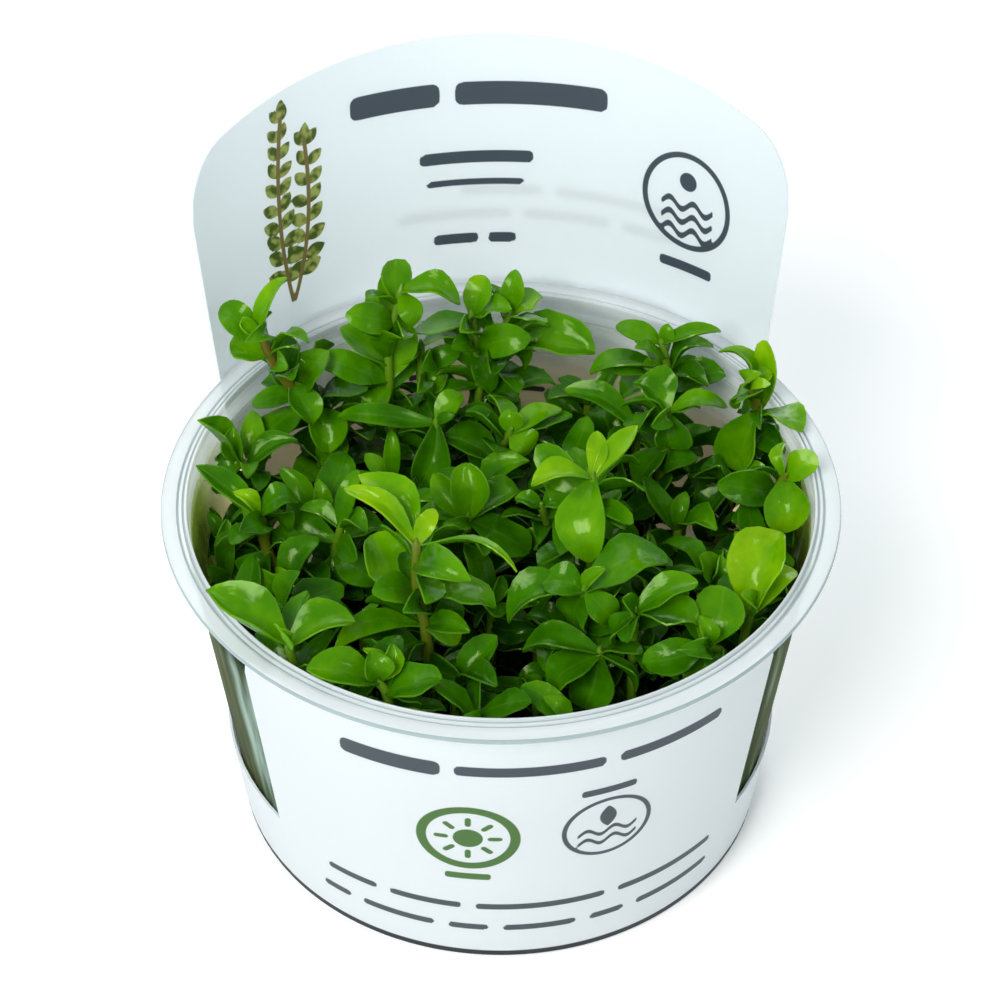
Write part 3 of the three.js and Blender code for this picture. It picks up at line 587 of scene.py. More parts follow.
print_on(back, {
    "crest_grey": np.minimum.reduce([
        words(arc, z, -21.5, 87.2, 91.0, [14.5, 24.0], 2.4),
        words(arc, z, -10.4, 77.5, 79.5, [18.0], 2),
        words(arc, z, -9.4, 73.7, 74.8, [15.6], 1),
        words(arc, z, -8.4, 63.8, 65.5, [7.2, 4.4], 1.6),
        words(arc, z, 28.6, 64.6, 66.2, [9.4], 1),
        *(words(arc, z, -26.5, low, low + 1, [4.4, 6.5, 3.0, 5.6, 4.2, 6.4], 1.2) for low in (40.6, 37.4)),
        ring(arc, z, *CREST_POND, 7.4, 0.9),
        dot(arc, z, CREST_POND[0], 79.4, 1.5),
        *(waves(arc, z, CREST_POND[0], up, 4.6, 0.8) for up in (75.4, 73.2, 71.0)),
    ]),
    "sprig_leaf": np.minimum.reduce(leaves),
    "sprig_stem": np.minimum.reduce(stems),
    "rear_grey": np.minimum.reduce([
        words(-arc, z, -31.0, low, low + 1.7, lengths, 2.0) for low, lengths in ROWS_BEHIND]),
})

sleeve = join([front, *sills, back])
sleeve.name = "printed_sleeve"
bpy.ops.object.mode_set(mode="EDIT")
bpy.ops.mesh.select_all(action="SELECT")
bpy.ops.mesh.remove_doubles(threshold=0.04 * MM)
bpy.ops.mesh.normals_make_consistent(inside=False)
bpy.ops.object.mode_set(mode="OBJECT")

# Printed polypropylene: satin white with flat inks. Some light passes the thin sheet and comes out
# slightly blue, and a dense print on the near side shows in it. The white varies in clouds 45 mm
# across, the sprig is speckled at 1.4 mm, and the sheet's grain is drawn at 1 mm, far coarser
# than the real one, so that it shows.
SHEET_WHITE = "#f9fcfd"
PRINT_GREY = "#49535c"
PRINT_GREEN = "#4f7d33"
FOOT_SHADE_NAVY = "#1c2834"
REAR_GREY = "#77828a"
INK_EDGE = 0.07
LIGHT_THROUGH = 0.34


def sheet_material(name, inks, far_inks=()):
    """Printed sheet: an ink has a colour, or two that it is speckled with. Far inks pass the light."""
    material, tree = new_material(name)
    place = add_node(tree, "TexCoord").outputs
    cloud = add_node(tree, "TexNoise", {"Scale": 22.0, "Detail": 2.0}, {"Vector": place["Object"]})
    colour = add_node(tree, "Mix", {"data_type": "RGBA", 6: SHEET_WHITE, 7: "#f4f9fb"}, {0: cloud})
    glow_colour = colour
    speck = add_node(tree, "TexNoise", {"Scale": 700.0, "Detail": 1.0}, {"Vector": place["Object"]})
    speck_share = add_node(tree, "MapRange", {1: 0.4, 2: 0.6}, {0: speck})
    for ink, shade in (*inks, *far_inks):
        edge = add_node(tree, "Attribute", {"attribute_name": ink})
        inside = add_node(tree, "MapRange", {1: -INK_EDGE, 2: INK_EDGE, 3: 1.0, 4: 0.0},
                          {0: edge.outputs["Fac"]})
        if isinstance(shade, tuple):
            dark, light = shade
            speckle = add_node(tree, "Mix", {"data_type": "RGBA", 6: dark, 7: light}, {0: speck_share})
            colour = add_node(tree, "Mix", {"data_type": "RGBA"}, {0: inside, 6: colour, 7: speckle})
        else:
            colour = add_node(tree, "Mix", {"data_type": "RGBA", 7: shade}, {0: inside, 6: colour})
        if (ink, shade) in inks:
            glow_colour = colour
    grain = add_node(tree, "TexNoise", {"Scale": 900.0, "Detail": 2.0}, {"Vector": place["Object"]})
    relief = add_node(tree, "Bump", {"Strength": 0.05, "Distance": 0.05 * MM}, {"Height": grain})
    sheet = add_node(tree, "BsdfPrincipled", {"Roughness": 0.42, "IOR": 1.49},
                     {"Base Color": colour, "Normal": relief})
    through = add_node(tree, "BsdfTranslucent", {}, {"Color": glow_colour})
    lit = add_node(tree, "MixShader", {0: LIGHT_THROUGH}, {1: sheet, 2: through})
    add_node(tree, "OutputMaterial", {}, {0: lit})
    return material


sleeve.data.materials.clear()
# The navy band round the sleeve's foot is painted shade, for the dark shade at the cup's foot.
sleeve.data.materials.append(sheet_material("printed_face_outside", [
    ("front_grey", PRINT_GREY), ("front_green", PRINT_GREEN), ("painted_foot_shade", FOOT_SHADE_NAVY)],
    far_inks=[("rear_grey", REAR_GREY)]))
sleeve.data.materials.append(sheet_material("printed_face_inside", [
    ("crest_grey", PRINT_GREY), ("sprig_leaf", ("#4d5f22", "#a3ab5a")), ("sprig_stem", "#7d7040")]))
sleeve.data.materials.append(sheet_material("cut_edge", []))
take(sleeve)
wall = sleeve.modifiers.new("sheet_thickness", "SOLIDIFY")
wall.thickness = SHEET * MM
wall.offset = -1
wall.use_even_offset = True
wall.material_offset = 1
wall.material_offset_rim = 2
bpy.ops.object.modifier_apply(modifier="sheet_thickness")
bpy.ops.object.shade_smooth_by_angle(angle=math.radians(40))
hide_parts("sleeve")
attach(sleeve, "root")


# Gel: cloudy straw-coloured nutrient agar, set in the bottom of the cup round the roots. Its top
# is level and wet, with a faint ripple and clouds about 11 mm across.
gel_look, tree = new_material("nutrient_agar")
place = add_node(tree, "TexCoord").outputs
cloud = add_node(tree, "TexNoise", {"Scale": 90.0, "Detail": 4.0}, {"Vector": place["Object"]})
straw = add_node(tree, "Mix", {"data_type": "RGBA", 6: "#5d5a35", 7: "#8f8757"}, {0: cloud})
ripple = add_node(tree, "Bump", {"Strength": 0.3, "Distance": 0.5 * MM}, {"Height": cloud})
agar = add_node(tree, "BsdfPrincipled", {"Roughness": 0.12, "IOR": 1.34},
                {"Base Color": straw, "Normal": ripple})
add_node(tree, "OutputMaterial", {}, {0: agar})
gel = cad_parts["gel"]
for slot in gel.material_slots:
    slot.material = gel_look


# Shoots: young lemon bacopa grown from tissue culture. Each is a round fleshy stem that stands
# in the gel, with thick smooth leaves in pairs, clasping the stem, cupped and blunt at the tip.
STEM_FOOT = 12.3
LEAF_THICKNESS = 0.26
dice = random.Random(7)

# The shoots that stand out, in mm: the foot of the stem, x and y on the gel; its leaf joints from
# the top down; and its leaves, as joint number, tip x, y and z, width, arch, and roll in degrees
# where a leaf has one.
SHOOTS = [
    ([-20, 24], [[-35, 24, 69], [-34, 23, 66], [-30, 23, 58], [-25, 27, 48]],
     [[0, -31, 28, 77, 4, 1.8], [0, -41, 28, 72, 4.5, 0.8], [1, -40, 25, 67, 5.5, 0.6],
      [1, -28, 21, 70, 2.5, 1.6, 60], [2, -25, 26, 64, 5.5, 1], [2, -37, 22, 57, 3, 0.8, 30]]),
    ([-33, 14], [[-39, 13, 53], [-37, 15, 50]],
     [[0, -45, 14, 61.3, 5, -0.3], [0, -40, 16, 58, 2.5, 0.3, 60], [1, -29, 22, 56, 5.5, 0.6],
      [1, -37, 22, 56, 3.5, 0.6], [0, -42.5, 12, 50, 4, 0.8]]),
    ([-30, -2], [[-36, -2, 56], [-35, -2, 49], [-33, -3, 43]],
     [[0, -45, 3, 62, 3, -1, 50], [0, -30, 0, 57, 4, 2.4], [0, -38, -1, 54, 4, 0.6],
      [0, -32, -1, 52, 4.5, 0.8], [1, -36, -4, 45, 5.5, 0.8], [1, -30, -2, 50, 4, 0.8]]),
    ([-37, -6], [[-41, -3, 44]],
     [[0, -41, 2, 52, 2.5, 0.5], [0, -38, -6, 43, 4, 0.6]]),
    ([-26, -25], [[-31.5, -30.5, 57.3]],
     [[0, -43, -24.3, 62.6, 6.5, -0.2, -8], [0, -22, -28.5, 59.5, 7.5, 0.8]]),
    ([-16, -31], [[-19, -35, 54], [-18, -35, 52]],
     [[0, -29, -36, 58, 5.5, 1], [0, -20, -33, 58, 4, 1], [1, -10, -36, 55, 6, 0.5],
      [0, -26, -35, 54, 2, 0.3], [1, -13, -35, 49, 4, 0.5]]),
    ([-10, -21], [[-13, -20, 66], [-13, -22, 58], [-12, -23, 53]],
     [[0, -23, -14, 72, 2.5, 0.6, 55], [0, -21, -9, 70, 5, 1], [1, -19, -13, 62, 6.5, -0.8],
      [0, 1, -26, 66, 2, 1.2, 60], [1, -2, -25, 58, 8, 0.5], [2, -25, -28, 54, 3.5, 1],
      [2, -7, -23, 50, 4, 0.6]]),
    ([-23, 2], [[-24, -2, 53], [-25, -1, 47]],
     [[0, -21, 2, 61, 2.5, 0.4], [0, -30, 1.5, 54, 2.5, 0.6], [0, -20, -4, 54, 3, 0.9],
      [1, -25, -4, 42, 4.5, 0.6], [1, -19, -6, 45, 5, 0.6]]),
    ([-27, 9], [[-28, 7, 47]],
     [[0, -33, 12, 53, 2.5, 0.6], [0, -23, 17, 51, 5, 0.8]]),
    ([-26, 19], [[-27, 21, 45]],
     [[0, -23, 23, 49, 5, 0.8], [0, -32, 24, 48, 5, 0.8], [0, -31, 17, 46, 4, 0.6]]),
    ([-14, 27], [[-14, 30, 72], [-16, 27, 63], [-16, 26, 58], [-16, 27, 51]],
     [[1, -19, 32, 70, 3.5, 0.4], [2, -14, 32, 66, 3.5, 0.4], [0, -12, 27, 68, 3.5, 0.6],
      [0, -5, 28, 71, 4.5, 2.4], [2, -27, 28, 61, 4.5, 2], [2, -19, 30, 60, 2.5, 0.4]]),
    ([-8, 30], [[-11, 30, 61], [-11, 29, 52]],
     [[0, -5, 30, 63, 4, 0.8], [0, -15, 28, 60, 3, 0.6], [1, -7, 31, 55, 4.5, 0.6],
      [1, -14, 24.5, 49, 4, 0.6]]),
    ([-3, 26], [[-3, 32, 65], [-2, 29, 54], [-3, 27, 46]],
     [[0, -1, 36, 70, 4, 0.4], [0, -12, 30, 64, 6, 0.6], [0, 3, 30.5, 67.5, 4.5, 0.8],
      [1, -10, 25, 52, 3, 0.8, 30], [1, 4, 27, 52, 3.5, 0.8]]),
    ([3, 31], [[3, 33, 65], [1, 31, 59], [1, 30, 51]],
     [[0, 4, 36, 71, 3.5, 0.4], [0, 8, 34, 67, 6, 0.6], [1, 16, 30, 59, 6.5, 0.6],
      [1, 9, 33, 62, 4.5, 0.8], [1, 5, 30, 56, 4, 1.2], [2, 10, 32, 51, 4.5, 0.8]]),
    ([1, 15], [[2, 14, 57], [1, 16, 51]],
     [[0, 2, 16, 60, 3.5, 0.3], [0, 10, 18, 58, 4, 0.6], [0, 5, 13, 54, 4.5, 0.6],
      [0, -1, 21, 58, 3, 0.8]]),
    ([23, 27], [[26, 27, 63], [27, 26, 58], [26, 29, 50]],
     [[0, 19, 29, 65, 3, 0.8], [0, 35, 27, 65, 3.5, 1.4], [1, 34, 27, 62, 4.5, 0.6],
      [0, 27, 28, 66, 2, 0.2], [1, 22, 29, 62, 3, -0.5], [1, 15, 26, 58, 5, 0.8],
      [1, 23, 25, 60, 3.5, 0.6]]),
    ([22, 13], [[26, 15, 59], [26, 15, 52], [24, 13, 43]],
     [[0, 21, 19, 62, 6, 0.6], [0, 31, 15, 60, 3.5, 0.6], [0, 35, 15, 60, 2.5, 3],
      [1, 22, 12, 46, 6, 0.6], [0, 26, 13, 54, 5, 0.8], [1, 33, 17, 54, 2.5, 0.6], [1, 30, 15, 47, 3, 0.6],
      [2, 21, 11, 41, 3.5, 0.6], [2, 26, 11, 40, 3, 0.5]]),
    ([19, 19], [[22, 19, 52]],
     [[0, 11, 25, 56, 3.5, 1.4], [0, 18, 17, 49, 4, 0.8]]),
    ([34, 18], [[39, 17, 62], [40, 17, 57], [38, 19, 50]],
     [[0, 34, 21, 66, 5, 2], [0, 37, 17, 58, 4, 1], [1, 41, 21, 68, 3, -0.8, 30],
      [1, 37, 14, 48, 6.5, 0.8], [1, 46, 10, 59, 6, 0.8], [0, 42, 18, 64, 3.5, 0.5]]),
    ([37, 4], [[42.5, 2, 57], [41.5, 5, 50]],
     [[0, 47, 2, 61.5, 4, 0.4], [0, 42.3, -3.5, 51, 6, 0.6]]),
    ([30, -21], [[35, -23, 53]],
     [[0, 40, -13, 60, 8.5, 0.8], [0, 42, -17, 56, 4, 0.6]]),
    ([25, -27], [[28, -29, 53], [31, -27, 49]],
     [[0, 31, -22, 58, 6.5, 0.8], [0, 19, -30, 51, 5, 1], [1, 25, -31, 48, 4, 0.8]]),
    ([18, -24], [[18, -26, 57]],
     [[0, 27, -28, 56, 6.5, 0.6], [0, 27, -24, 61, 4.5, 1], [0, 16, -27, 61, 2.5, 0.2],
      [0, 15, -27, 52, 4, 0.6]]),
    ([12, -8], [[13, -7, 66], [13, -8, 51]],
     [[0, 12, -16, 58, 6.5, 1.6], [0, 20, 0, 70, 2.5, 1.6], [0, 14, -1, 70, 2.5, 0.4],
      [0, 4, -8, 66, 4, 1.2]]),
    ([10, -20], [[11, -22, 58]],
     [[0, 0, -24, 54, 6, 1.2], [0, 5, -21, 59, 5, 1], [0, 15, -24, 54, 4, 1.2],
      [0, 10, -22.5, 50.5, 5.5, 0.8], [0, 23, -17, 60, 8.5, 2.2], [0, 23, -17, 55, 4.5, 0.8]]),
    ([14, -30], [[13, -27, 50]],
     [[0, 6, -30, 45, 6, 0.8], [0, 2, -25, 49, 6, 0.8], [0, 11, -30, 42, 6, 0.6],
      [0, 18, -31, 46, 3.5, 0.6], [0, 19, -29, 52, 3.5, 0.6]]),
    ([3, -29], [[4, -27, 41]],
     [[0, -4, -24, 41, 4, 0.8], [0, 2, -24, 43, 3.5, 0.6]]),
    ([-5, -3], [[-5, -2, 54]],
     [[0, -5, 3, 61, 5, 0.6], [0, -10, 4, 58, 3.5, 0.8], [0, -13, -1, 53, 4, 0.8], [0, 4, -5, 50, 7, 0.8],
      [0, 3, 4, 54, 4.5, 0.8]]),
    ([5, 1], [[6, -3, 57], [7, -1, 51]],
     [[0, 2, -2, 58, 2.5, 0.8], [0, 10, -3, 58, 3, 0.8], [1, 12, -3, 49, 4, 0.8],
      [1, 5, -3, 48, 3, 0.6]]),
    ([-9, 17], [[-9, 19, 55]],
     [[0, -12, 15, 46, 5, 0.6], [0, -24, 20, 56, 3.5, 0.8], [0, -5, 22, 58, 3.5, 0.6]]),
    ([-16, 14], [[-16, 15, 46]],
     [[0, -16, 19, 54, 2, 0.4], [0, -11, 11.5, 44.5, 4, 0.8]]),
    ([-29, -15], [[-32, -16, 50]],
     [[0, -30, -14, 56, 3.5, 0.6], [0, -36, -12, 48, 4, 0.8]]),
    ([28, -9], [[31, -10, 47]],
     [[0, 29, -9, 52, 5, 0.8], [0, 24, -3, 49, 3, 2]]),
    ([32, 9], [[36, 10, 49]],
     [[0, 39, 8, 42, 5, 0.8], [0, 33, 7, 42, 5, 0.8], [0, 31, 11, 51, 4.5, 0.6],
      [0, 41.5, 8.5, 51, 4.5, 0.6]]),
]

# Low shoots that fill the carpet between the others: foot, then tip.
LOW_SHOOTS = [
    ([-20, -18], [-21, -18, 47]), ([-13, -10], [-13, -9, 48]), ([-2, -13], [-2, -12, 46]),
    ([5, -11], [5, -12, 45]), ([20, -14], [21, -14, 47]), ([20, -3], [21, -3, 45]),
    ([13, 4], [13, 5, 49]), ([10, 12], [10, 12, 50]), ([-3, 8], [-3, 7, 50]), ([-15, 6], [-15, 6, 48]),
    ([36, -4], [39.5, -5, 47]), ([-36.5, -12], [-40, -13, 46]), ([-22, -30], [-25, -33, 45]),
    ([-5, -33], [-5, -35, 46]), ([8, -35], [8, -37, 44]), ([36.5, -12], [40.5, -13, 46]),
    ([14, 27], [15, 29, 49]), ([-37.5, 4], [-41.5, 4.5, 46]), ([26, 3], [27, 3, 46]),
    ([-8, -26], [-8, -28, 45]), ([-31, -9], [-33, -9, 47]), ([2, 22], [2, 23, 48]),
]

# Every shoot also has a pair of leaves at a lower joint, at a share of the way up its stem, and a
# low shoot has a pair at its tip. Each shoot is turned from the one before by the growth angle.
LOWER_JOINT = 0.75
GROWTH_TURN = 137.5

# Leaves in front of the long bare stems: shoot number, base, tip, width.
COVER_LEAVES = [
    (1, [-31, 23, 60.5], [-28, 18.6, 56], 5.4),
    (1, [-28, 24.6, 54], [-25.5, 19, 49.5], 6),
    (11, [-15.6, 26.6, 61], [-14.2, 23.4, 68.5], 4.6),
    (11, [-16, 26.2, 57], [-19.5, 22.6, 52], 4.8),
    (13, [-2.6, 30.4, 59], [-0.5, 26, 55], 4.8),
]

# Leaves with a sharp tip, as shoot number and place in its list, and how sharp they are.
POINTED = {(2, 0), (3, 0), (5, 0), (7, 1), (7, 3), (14, 1), (19, 4), (24, 1)}
POINTED_LEAF = 0.95

# Youth runs from 0, old and deep green, to 1, new and yellow-green. A leaf has more of it the
# higher its tip, partly for its age and partly as painted shade that darkens the low leaves deep
# in the carpet. Some shoots have more, and a flushed stem has little, which makes it red. Green
# stems are thinner than flushed ones.
LOW_YOUTH = 0.43
YOUTH_SHADE_HEIGHT = 45
YOUTH_AND_SHADE_RISE = 0.0085
YOUNG_SHOOTS = {5: 0.1, 7: 0.12, 15: 0.1, 19: 0.14, 20: 0.2, 21: 0.3, 24: 0.16}
GREEN_STEM = 0.85
THIN_STEM = 0.85
FLUSHED_STEMS = {1: 0.3, 3: 0.55, 7: 0.55, 19: 0.5, 20: 0.55, 34: 0.45}

# Leaf tissue: thin, smooth and waxy, so the light both glints off it and glows through it. Young
# leaves are yellow-green and old ones deep green, low ones darker partly by painted shade, with a
# paler midrib, and the margin has a painted glow, for light through the thin edge. The green
# is mottled in patches of 6 mm, and faint veins, about eight a leaf, and blisters of 2.4 mm, larger
# than the real ones so that they show, break up the gloss.
leaf_tissue, tree = new_material("bacopa_leaf")
place = add_node(tree, "TexCoord").outputs
age = add_node(tree, "Attribute", {"attribute_name": "youth"})
across = add_node(tree, "SeparateXYZ", {}, {0: place["UV"]}).outputs
mottle = add_node(tree, "TexNoise", {"Scale": 170.0, "Detail": 3.0}, {"Vector": place["Object"]})
patch = add_node(tree, "MapRange", {1: 0.3, 2: 0.7, 3: -0.13, 4: 0.13}, {0: mottle})
shade = add_node(tree, "Math", {"operation": "ADD"}, {0: age.outputs["Fac"], 1: patch})
greens = add_node(tree, "ValToRGB", {}, {0: shade})
greens.color_ramp.elements[0].position = 0.0
greens.color_ramp.elements[0].color = linear("#0a2800")
greens.color_ramp.elements[1].position = 1.0
greens.color_ramp.elements[1].color = linear("#a6d20c")
for at, hex_colour in ((0.3, "#1c5400"), (0.55, "#458a00"), (0.78, "#6fb000")):
    greens.color_ramp.elements.new(at).color = linear(hex_colour)
centre = add_node(tree, "Math", {"operation": "SUBTRACT", 1: 0.5}, {0: across["X"]})
aside = add_node(tree, "Math", {"operation": "ABSOLUTE"}, {0: centre})
midrib = add_node(tree, "MapRange", {1: 0.01, 2: 0.05, 3: 0.12, 4: 0.0}, {0: aside})
ribbed = add_node(tree, "Mix", {"data_type": "RGBA", 7: "#8fbf3a"}, {0: midrib, 6: greens})
# The paler margin is a painted glow, for light shining through the thin leaf edge.
margin = add_node(tree, "MapRange", {1: 0.46, 2: 0.5, 3: 0.0, 4: 0.12}, {0: aside})
edged = add_node(tree, "Mix", {"data_type": "RGBA", 7: "#9ccb4e"}, {0: margin, 6: ribbed})
rise = add_node(tree, "Math", {"operation": "MULTIPLY_ADD", 1: 1.4}, {0: aside, 2: across["Y"]})
veins = add_node(tree, "Math", {"operation": "MULTIPLY", 1: 48.0}, {0: rise})
vein_wave = add_node(tree, "Math", {"operation": "SINE"}, {0: veins})
height = add_node(tree, "Math", {"operation": "MULTIPLY_ADD", 1: 0.007}, {0: vein_wave, 2: mottle})
blister = add_node(tree, "TexNoise", {"Scale": 420.0, "Detail": 1.0}, {"Vector": place["Object"]})
uneven = add_node(tree, "Math", {"operation": "MULTIPLY_ADD", 1: 0.6}, {0: blister, 2: height})
relief = add_node(tree, "Bump", {"Strength": 0.6, "Distance": 0.6 * MM}, {"Height": uneven})
waxy = add_node(tree, "BsdfPrincipled",
                {"Roughness": 0.18, "IOR": 1.42, "Specular Tint": "#cdee86",
                 "Coat Weight": 0.2, "Coat Roughness": 0.06},
                {"Base Color": edged, "Normal": relief})
sunny = add_node(tree, "Mix", {"data_type": "RGBA", 0: 0.45, 7: "#b4e400"}, {6: edged})
glow = add_node(tree, "BsdfTranslucent", {}, {"Color": sunny, "Normal": relief})
leaf_mix = add_node(tree, "MixShader", {0: 0.35}, {1: waxy, 2: glow})
add_node(tree, "OutputMaterial", {}, {0: leaf_mix})

# Stem tissue: smooth and juicy, light green, flushed copper red on the older shoots, and uneven
# every 3 mm or so.
stem_tissue, tree = new_material("bacopa_stem")
place = add_node(tree, "TexCoord").outputs
flush = add_node(tree, "Attribute", {"attribute_name": "youth"})
streak = add_node(tree, "TexNoise", {"Scale": 320.0, "Detail": 2.0}, {"Vector": place["Object"]})
stem_colour = add_node(tree, "ValToRGB", {}, {0: flush.outputs["Fac"]})
stem_colour.color_ramp.elements[0].color = linear("#6e3a18")
stem_colour.color_ramp.elements[1].color = linear("#5f9418")
relief = add_node(tree, "Bump", {"Strength": 0.15, "Distance": 0.2 * MM}, {"Height": streak})
juicy = add_node(tree, "BsdfPrincipled", {"Roughness": 0.3, "IOR": 1.42},
                 {"Base Color": stem_colour, "Normal": relief})
add_node(tree, "OutputMaterial", {}, {0: juicy})


def leaf_blank(rows):
    """A flat leaf to bend, a grid with closer rows at its ends, and its points' places across and up."""
    deselect_all()
    bpy.ops.mesh.primitive_grid_add(x_subdivisions=4, y_subdivisions=rows, size=2)
    blank = bpy.context.object
    blank.data.materials.append(leaf_tissue)
    aside, even, _ = points_of(blank).T
    even = (even + 1) / 2
    return blank, aside, 0.45 * even + 0.55 * (1 - np.cos(np.pi * even)) / 2


BLANKS = {"large": leaf_blank(10), "small": leaf_blank(7)}
WIDEST = 0.54
BASE_WIDTH = 0.2


def leaf_half_width(t, point):
    """Half width over the widest, from clasping base to tip, blunt for a point of 0.5, sharper above."""
    base = BASE_WIDTH + (1 - BASE_WIDTH) * np.sin(np.pi / 2 * np.clip(t / WIDEST, 0, 1)) ** 1.15
    tip = (1 - 0.985 * np.clip((t - WIDEST) / (1 - WIDEST), 0, 1) ** 2) ** point
    return np.where(t < WIDEST, base, tip)


def bend_leaf(kind, joint, tip, width, arch, roll, turn_most=42, point=0.0):
    """Points of a leaf in mm from a joint to a tip, bent from its blank.

    Each leaf gets its own twist, fold along the midrib, wavy margin, sway to a side and curl.
    """
    _, aside, up_leaf = BLANKS[kind]
    along = tip - joint
    length = np.linalg.norm(along)
    along = along / length
    up = np.array([0, 0, 1.0]) - along * along[2]
    up /= np.linalg.norm(up)
    side = np.cross(up, along)
    turn = math.radians(roll)
    up, side = up * math.cos(turn) + side * math.sin(turn), side * math.cos(turn) - up * math.sin(turn)
    half = width / 2 * leaf_half_width(up_leaf, point or dice.uniform(0.38, 0.64))
    twist = math.radians(dice.uniform(-turn_most, turn_most)) * up_leaf
    fold = 0.1 + 0.85 * dice.random() ** 1.6
    wave = dice.uniform(0.05, 0.22) * np.sin(up_leaf * dice.uniform(6, 11) + dice.uniform(0, 6))
    sway = dice.uniform(-0.12, 0.12) * length * np.sin(np.pi * up_leaf)
    curl = dice.uniform(0, 0.14) * length * 6.75 * up_leaf ** 2 * (1 - up_leaf)
    cupped = half * (fold * np.abs(aside) ** 1.6 + wave * np.abs(aside))
    lift = 4 * up_leaf * (1 - up_leaf) * arch + curl + cupped
    return (joint + np.outer(up_leaf * length, along)
            + np.outer(half * aside * np.cos(twist) + sway, side)
            + np.outer(lift + half * aside * np.sin(twist), up))


def leaf_tree(kind, spots):
    """A search tree of a leaf's surface, its middle and its reach, to keep leaves apart."""
    faces = [tuple(face.vertices) for face in BLANKS[kind][0].data.polygons]
    middle = spots.mean(axis=0)
    reach = np.linalg.norm(spots - middle, axis=1).max()
    return BVHTree.FromPolygons([tuple(spot) for spot in spots], faces), middle, reach


def leaf_object(kind, spots, youth):
    """The leaf as an object, from its points in mm, a little younger towards its tip."""
    blank, _, up_leaf = BLANKS[kind]
    leaf = blank.copy()
    leaf.data = blank.data.copy()
    leaf.data.vertices.foreach_set("co", (spots * MM).ravel())
    keep_values(leaf, "youth", youth + 0.1 * up_leaf)
    bpy.context.collection.objects.link(leaf)
    return leaf


BUD_LENGTH = 1.4
BUD_RADIUS = 0.25
TAPER = 0.3


def grow_stem(route, radius, youth):
    """A tapered stem through its joints, with a closed foot and bud."""
    curve = bpy.data.curves.new("stem", "CURVE")
    curve.dimensions = "3D"
    curve.bevel_depth = 1 * MM
    curve.bevel_resolution = 2
    curve.use_fill_caps = True
    curve.resolution_u = 6
    line = curve.splines.new("BEZIER")
    top = route[-1] - route[-2]
    points = [*route, route[-1] + top / np.linalg.norm(top) * BUD_LENGTH]
    line.bezier_points.add(len(points) - 1)
    for index, (knot, spot) in enumerate(zip(line.bezier_points, points)):
        knot.co = spot * MM
        knot.handle_left_type = knot.handle_right_type = "AUTO"
        share = index / (len(points) - 1)
        knot.radius = BUD_RADIUS if share == 1 else radius * (1 - TAPER * share)
    stem = bpy.data.objects.new("stem", curve)
    bpy.context.collection.objects.link(stem)
    take(stem)
    bpy.ops.object.convert(target="MESH")
    stem = bpy.context.object
    stem.data.materials.clear()
    stem.data.materials.append(stem_tissue)
    keep_values(stem, "youth", np.full(len(stem.data.vertices), youth))
    return stem


SAME_PLACE = 0.03


def found_tip(node_points, joint, turn, length, rise):
    """The tip that a paired leaf has in the solid and its share of the length, or None for both.

    The solid's leaf was turned, and then shortened, in these steps until it was clear of the rest.
    """
    for scale in (1, 0.8):
        for swing in (0, 25, -25, 50, -50):
            angle = math.radians(turn + swing)
            reach = length * scale
            tip = joint + np.array([math.cos(angle) * reach, math.sin(angle) * reach, rise * reach])
            if np.min(np.linalg.norm(node_points - tip, axis=1)) < SAME_PLACE:
                return tip, scale
    return None, None


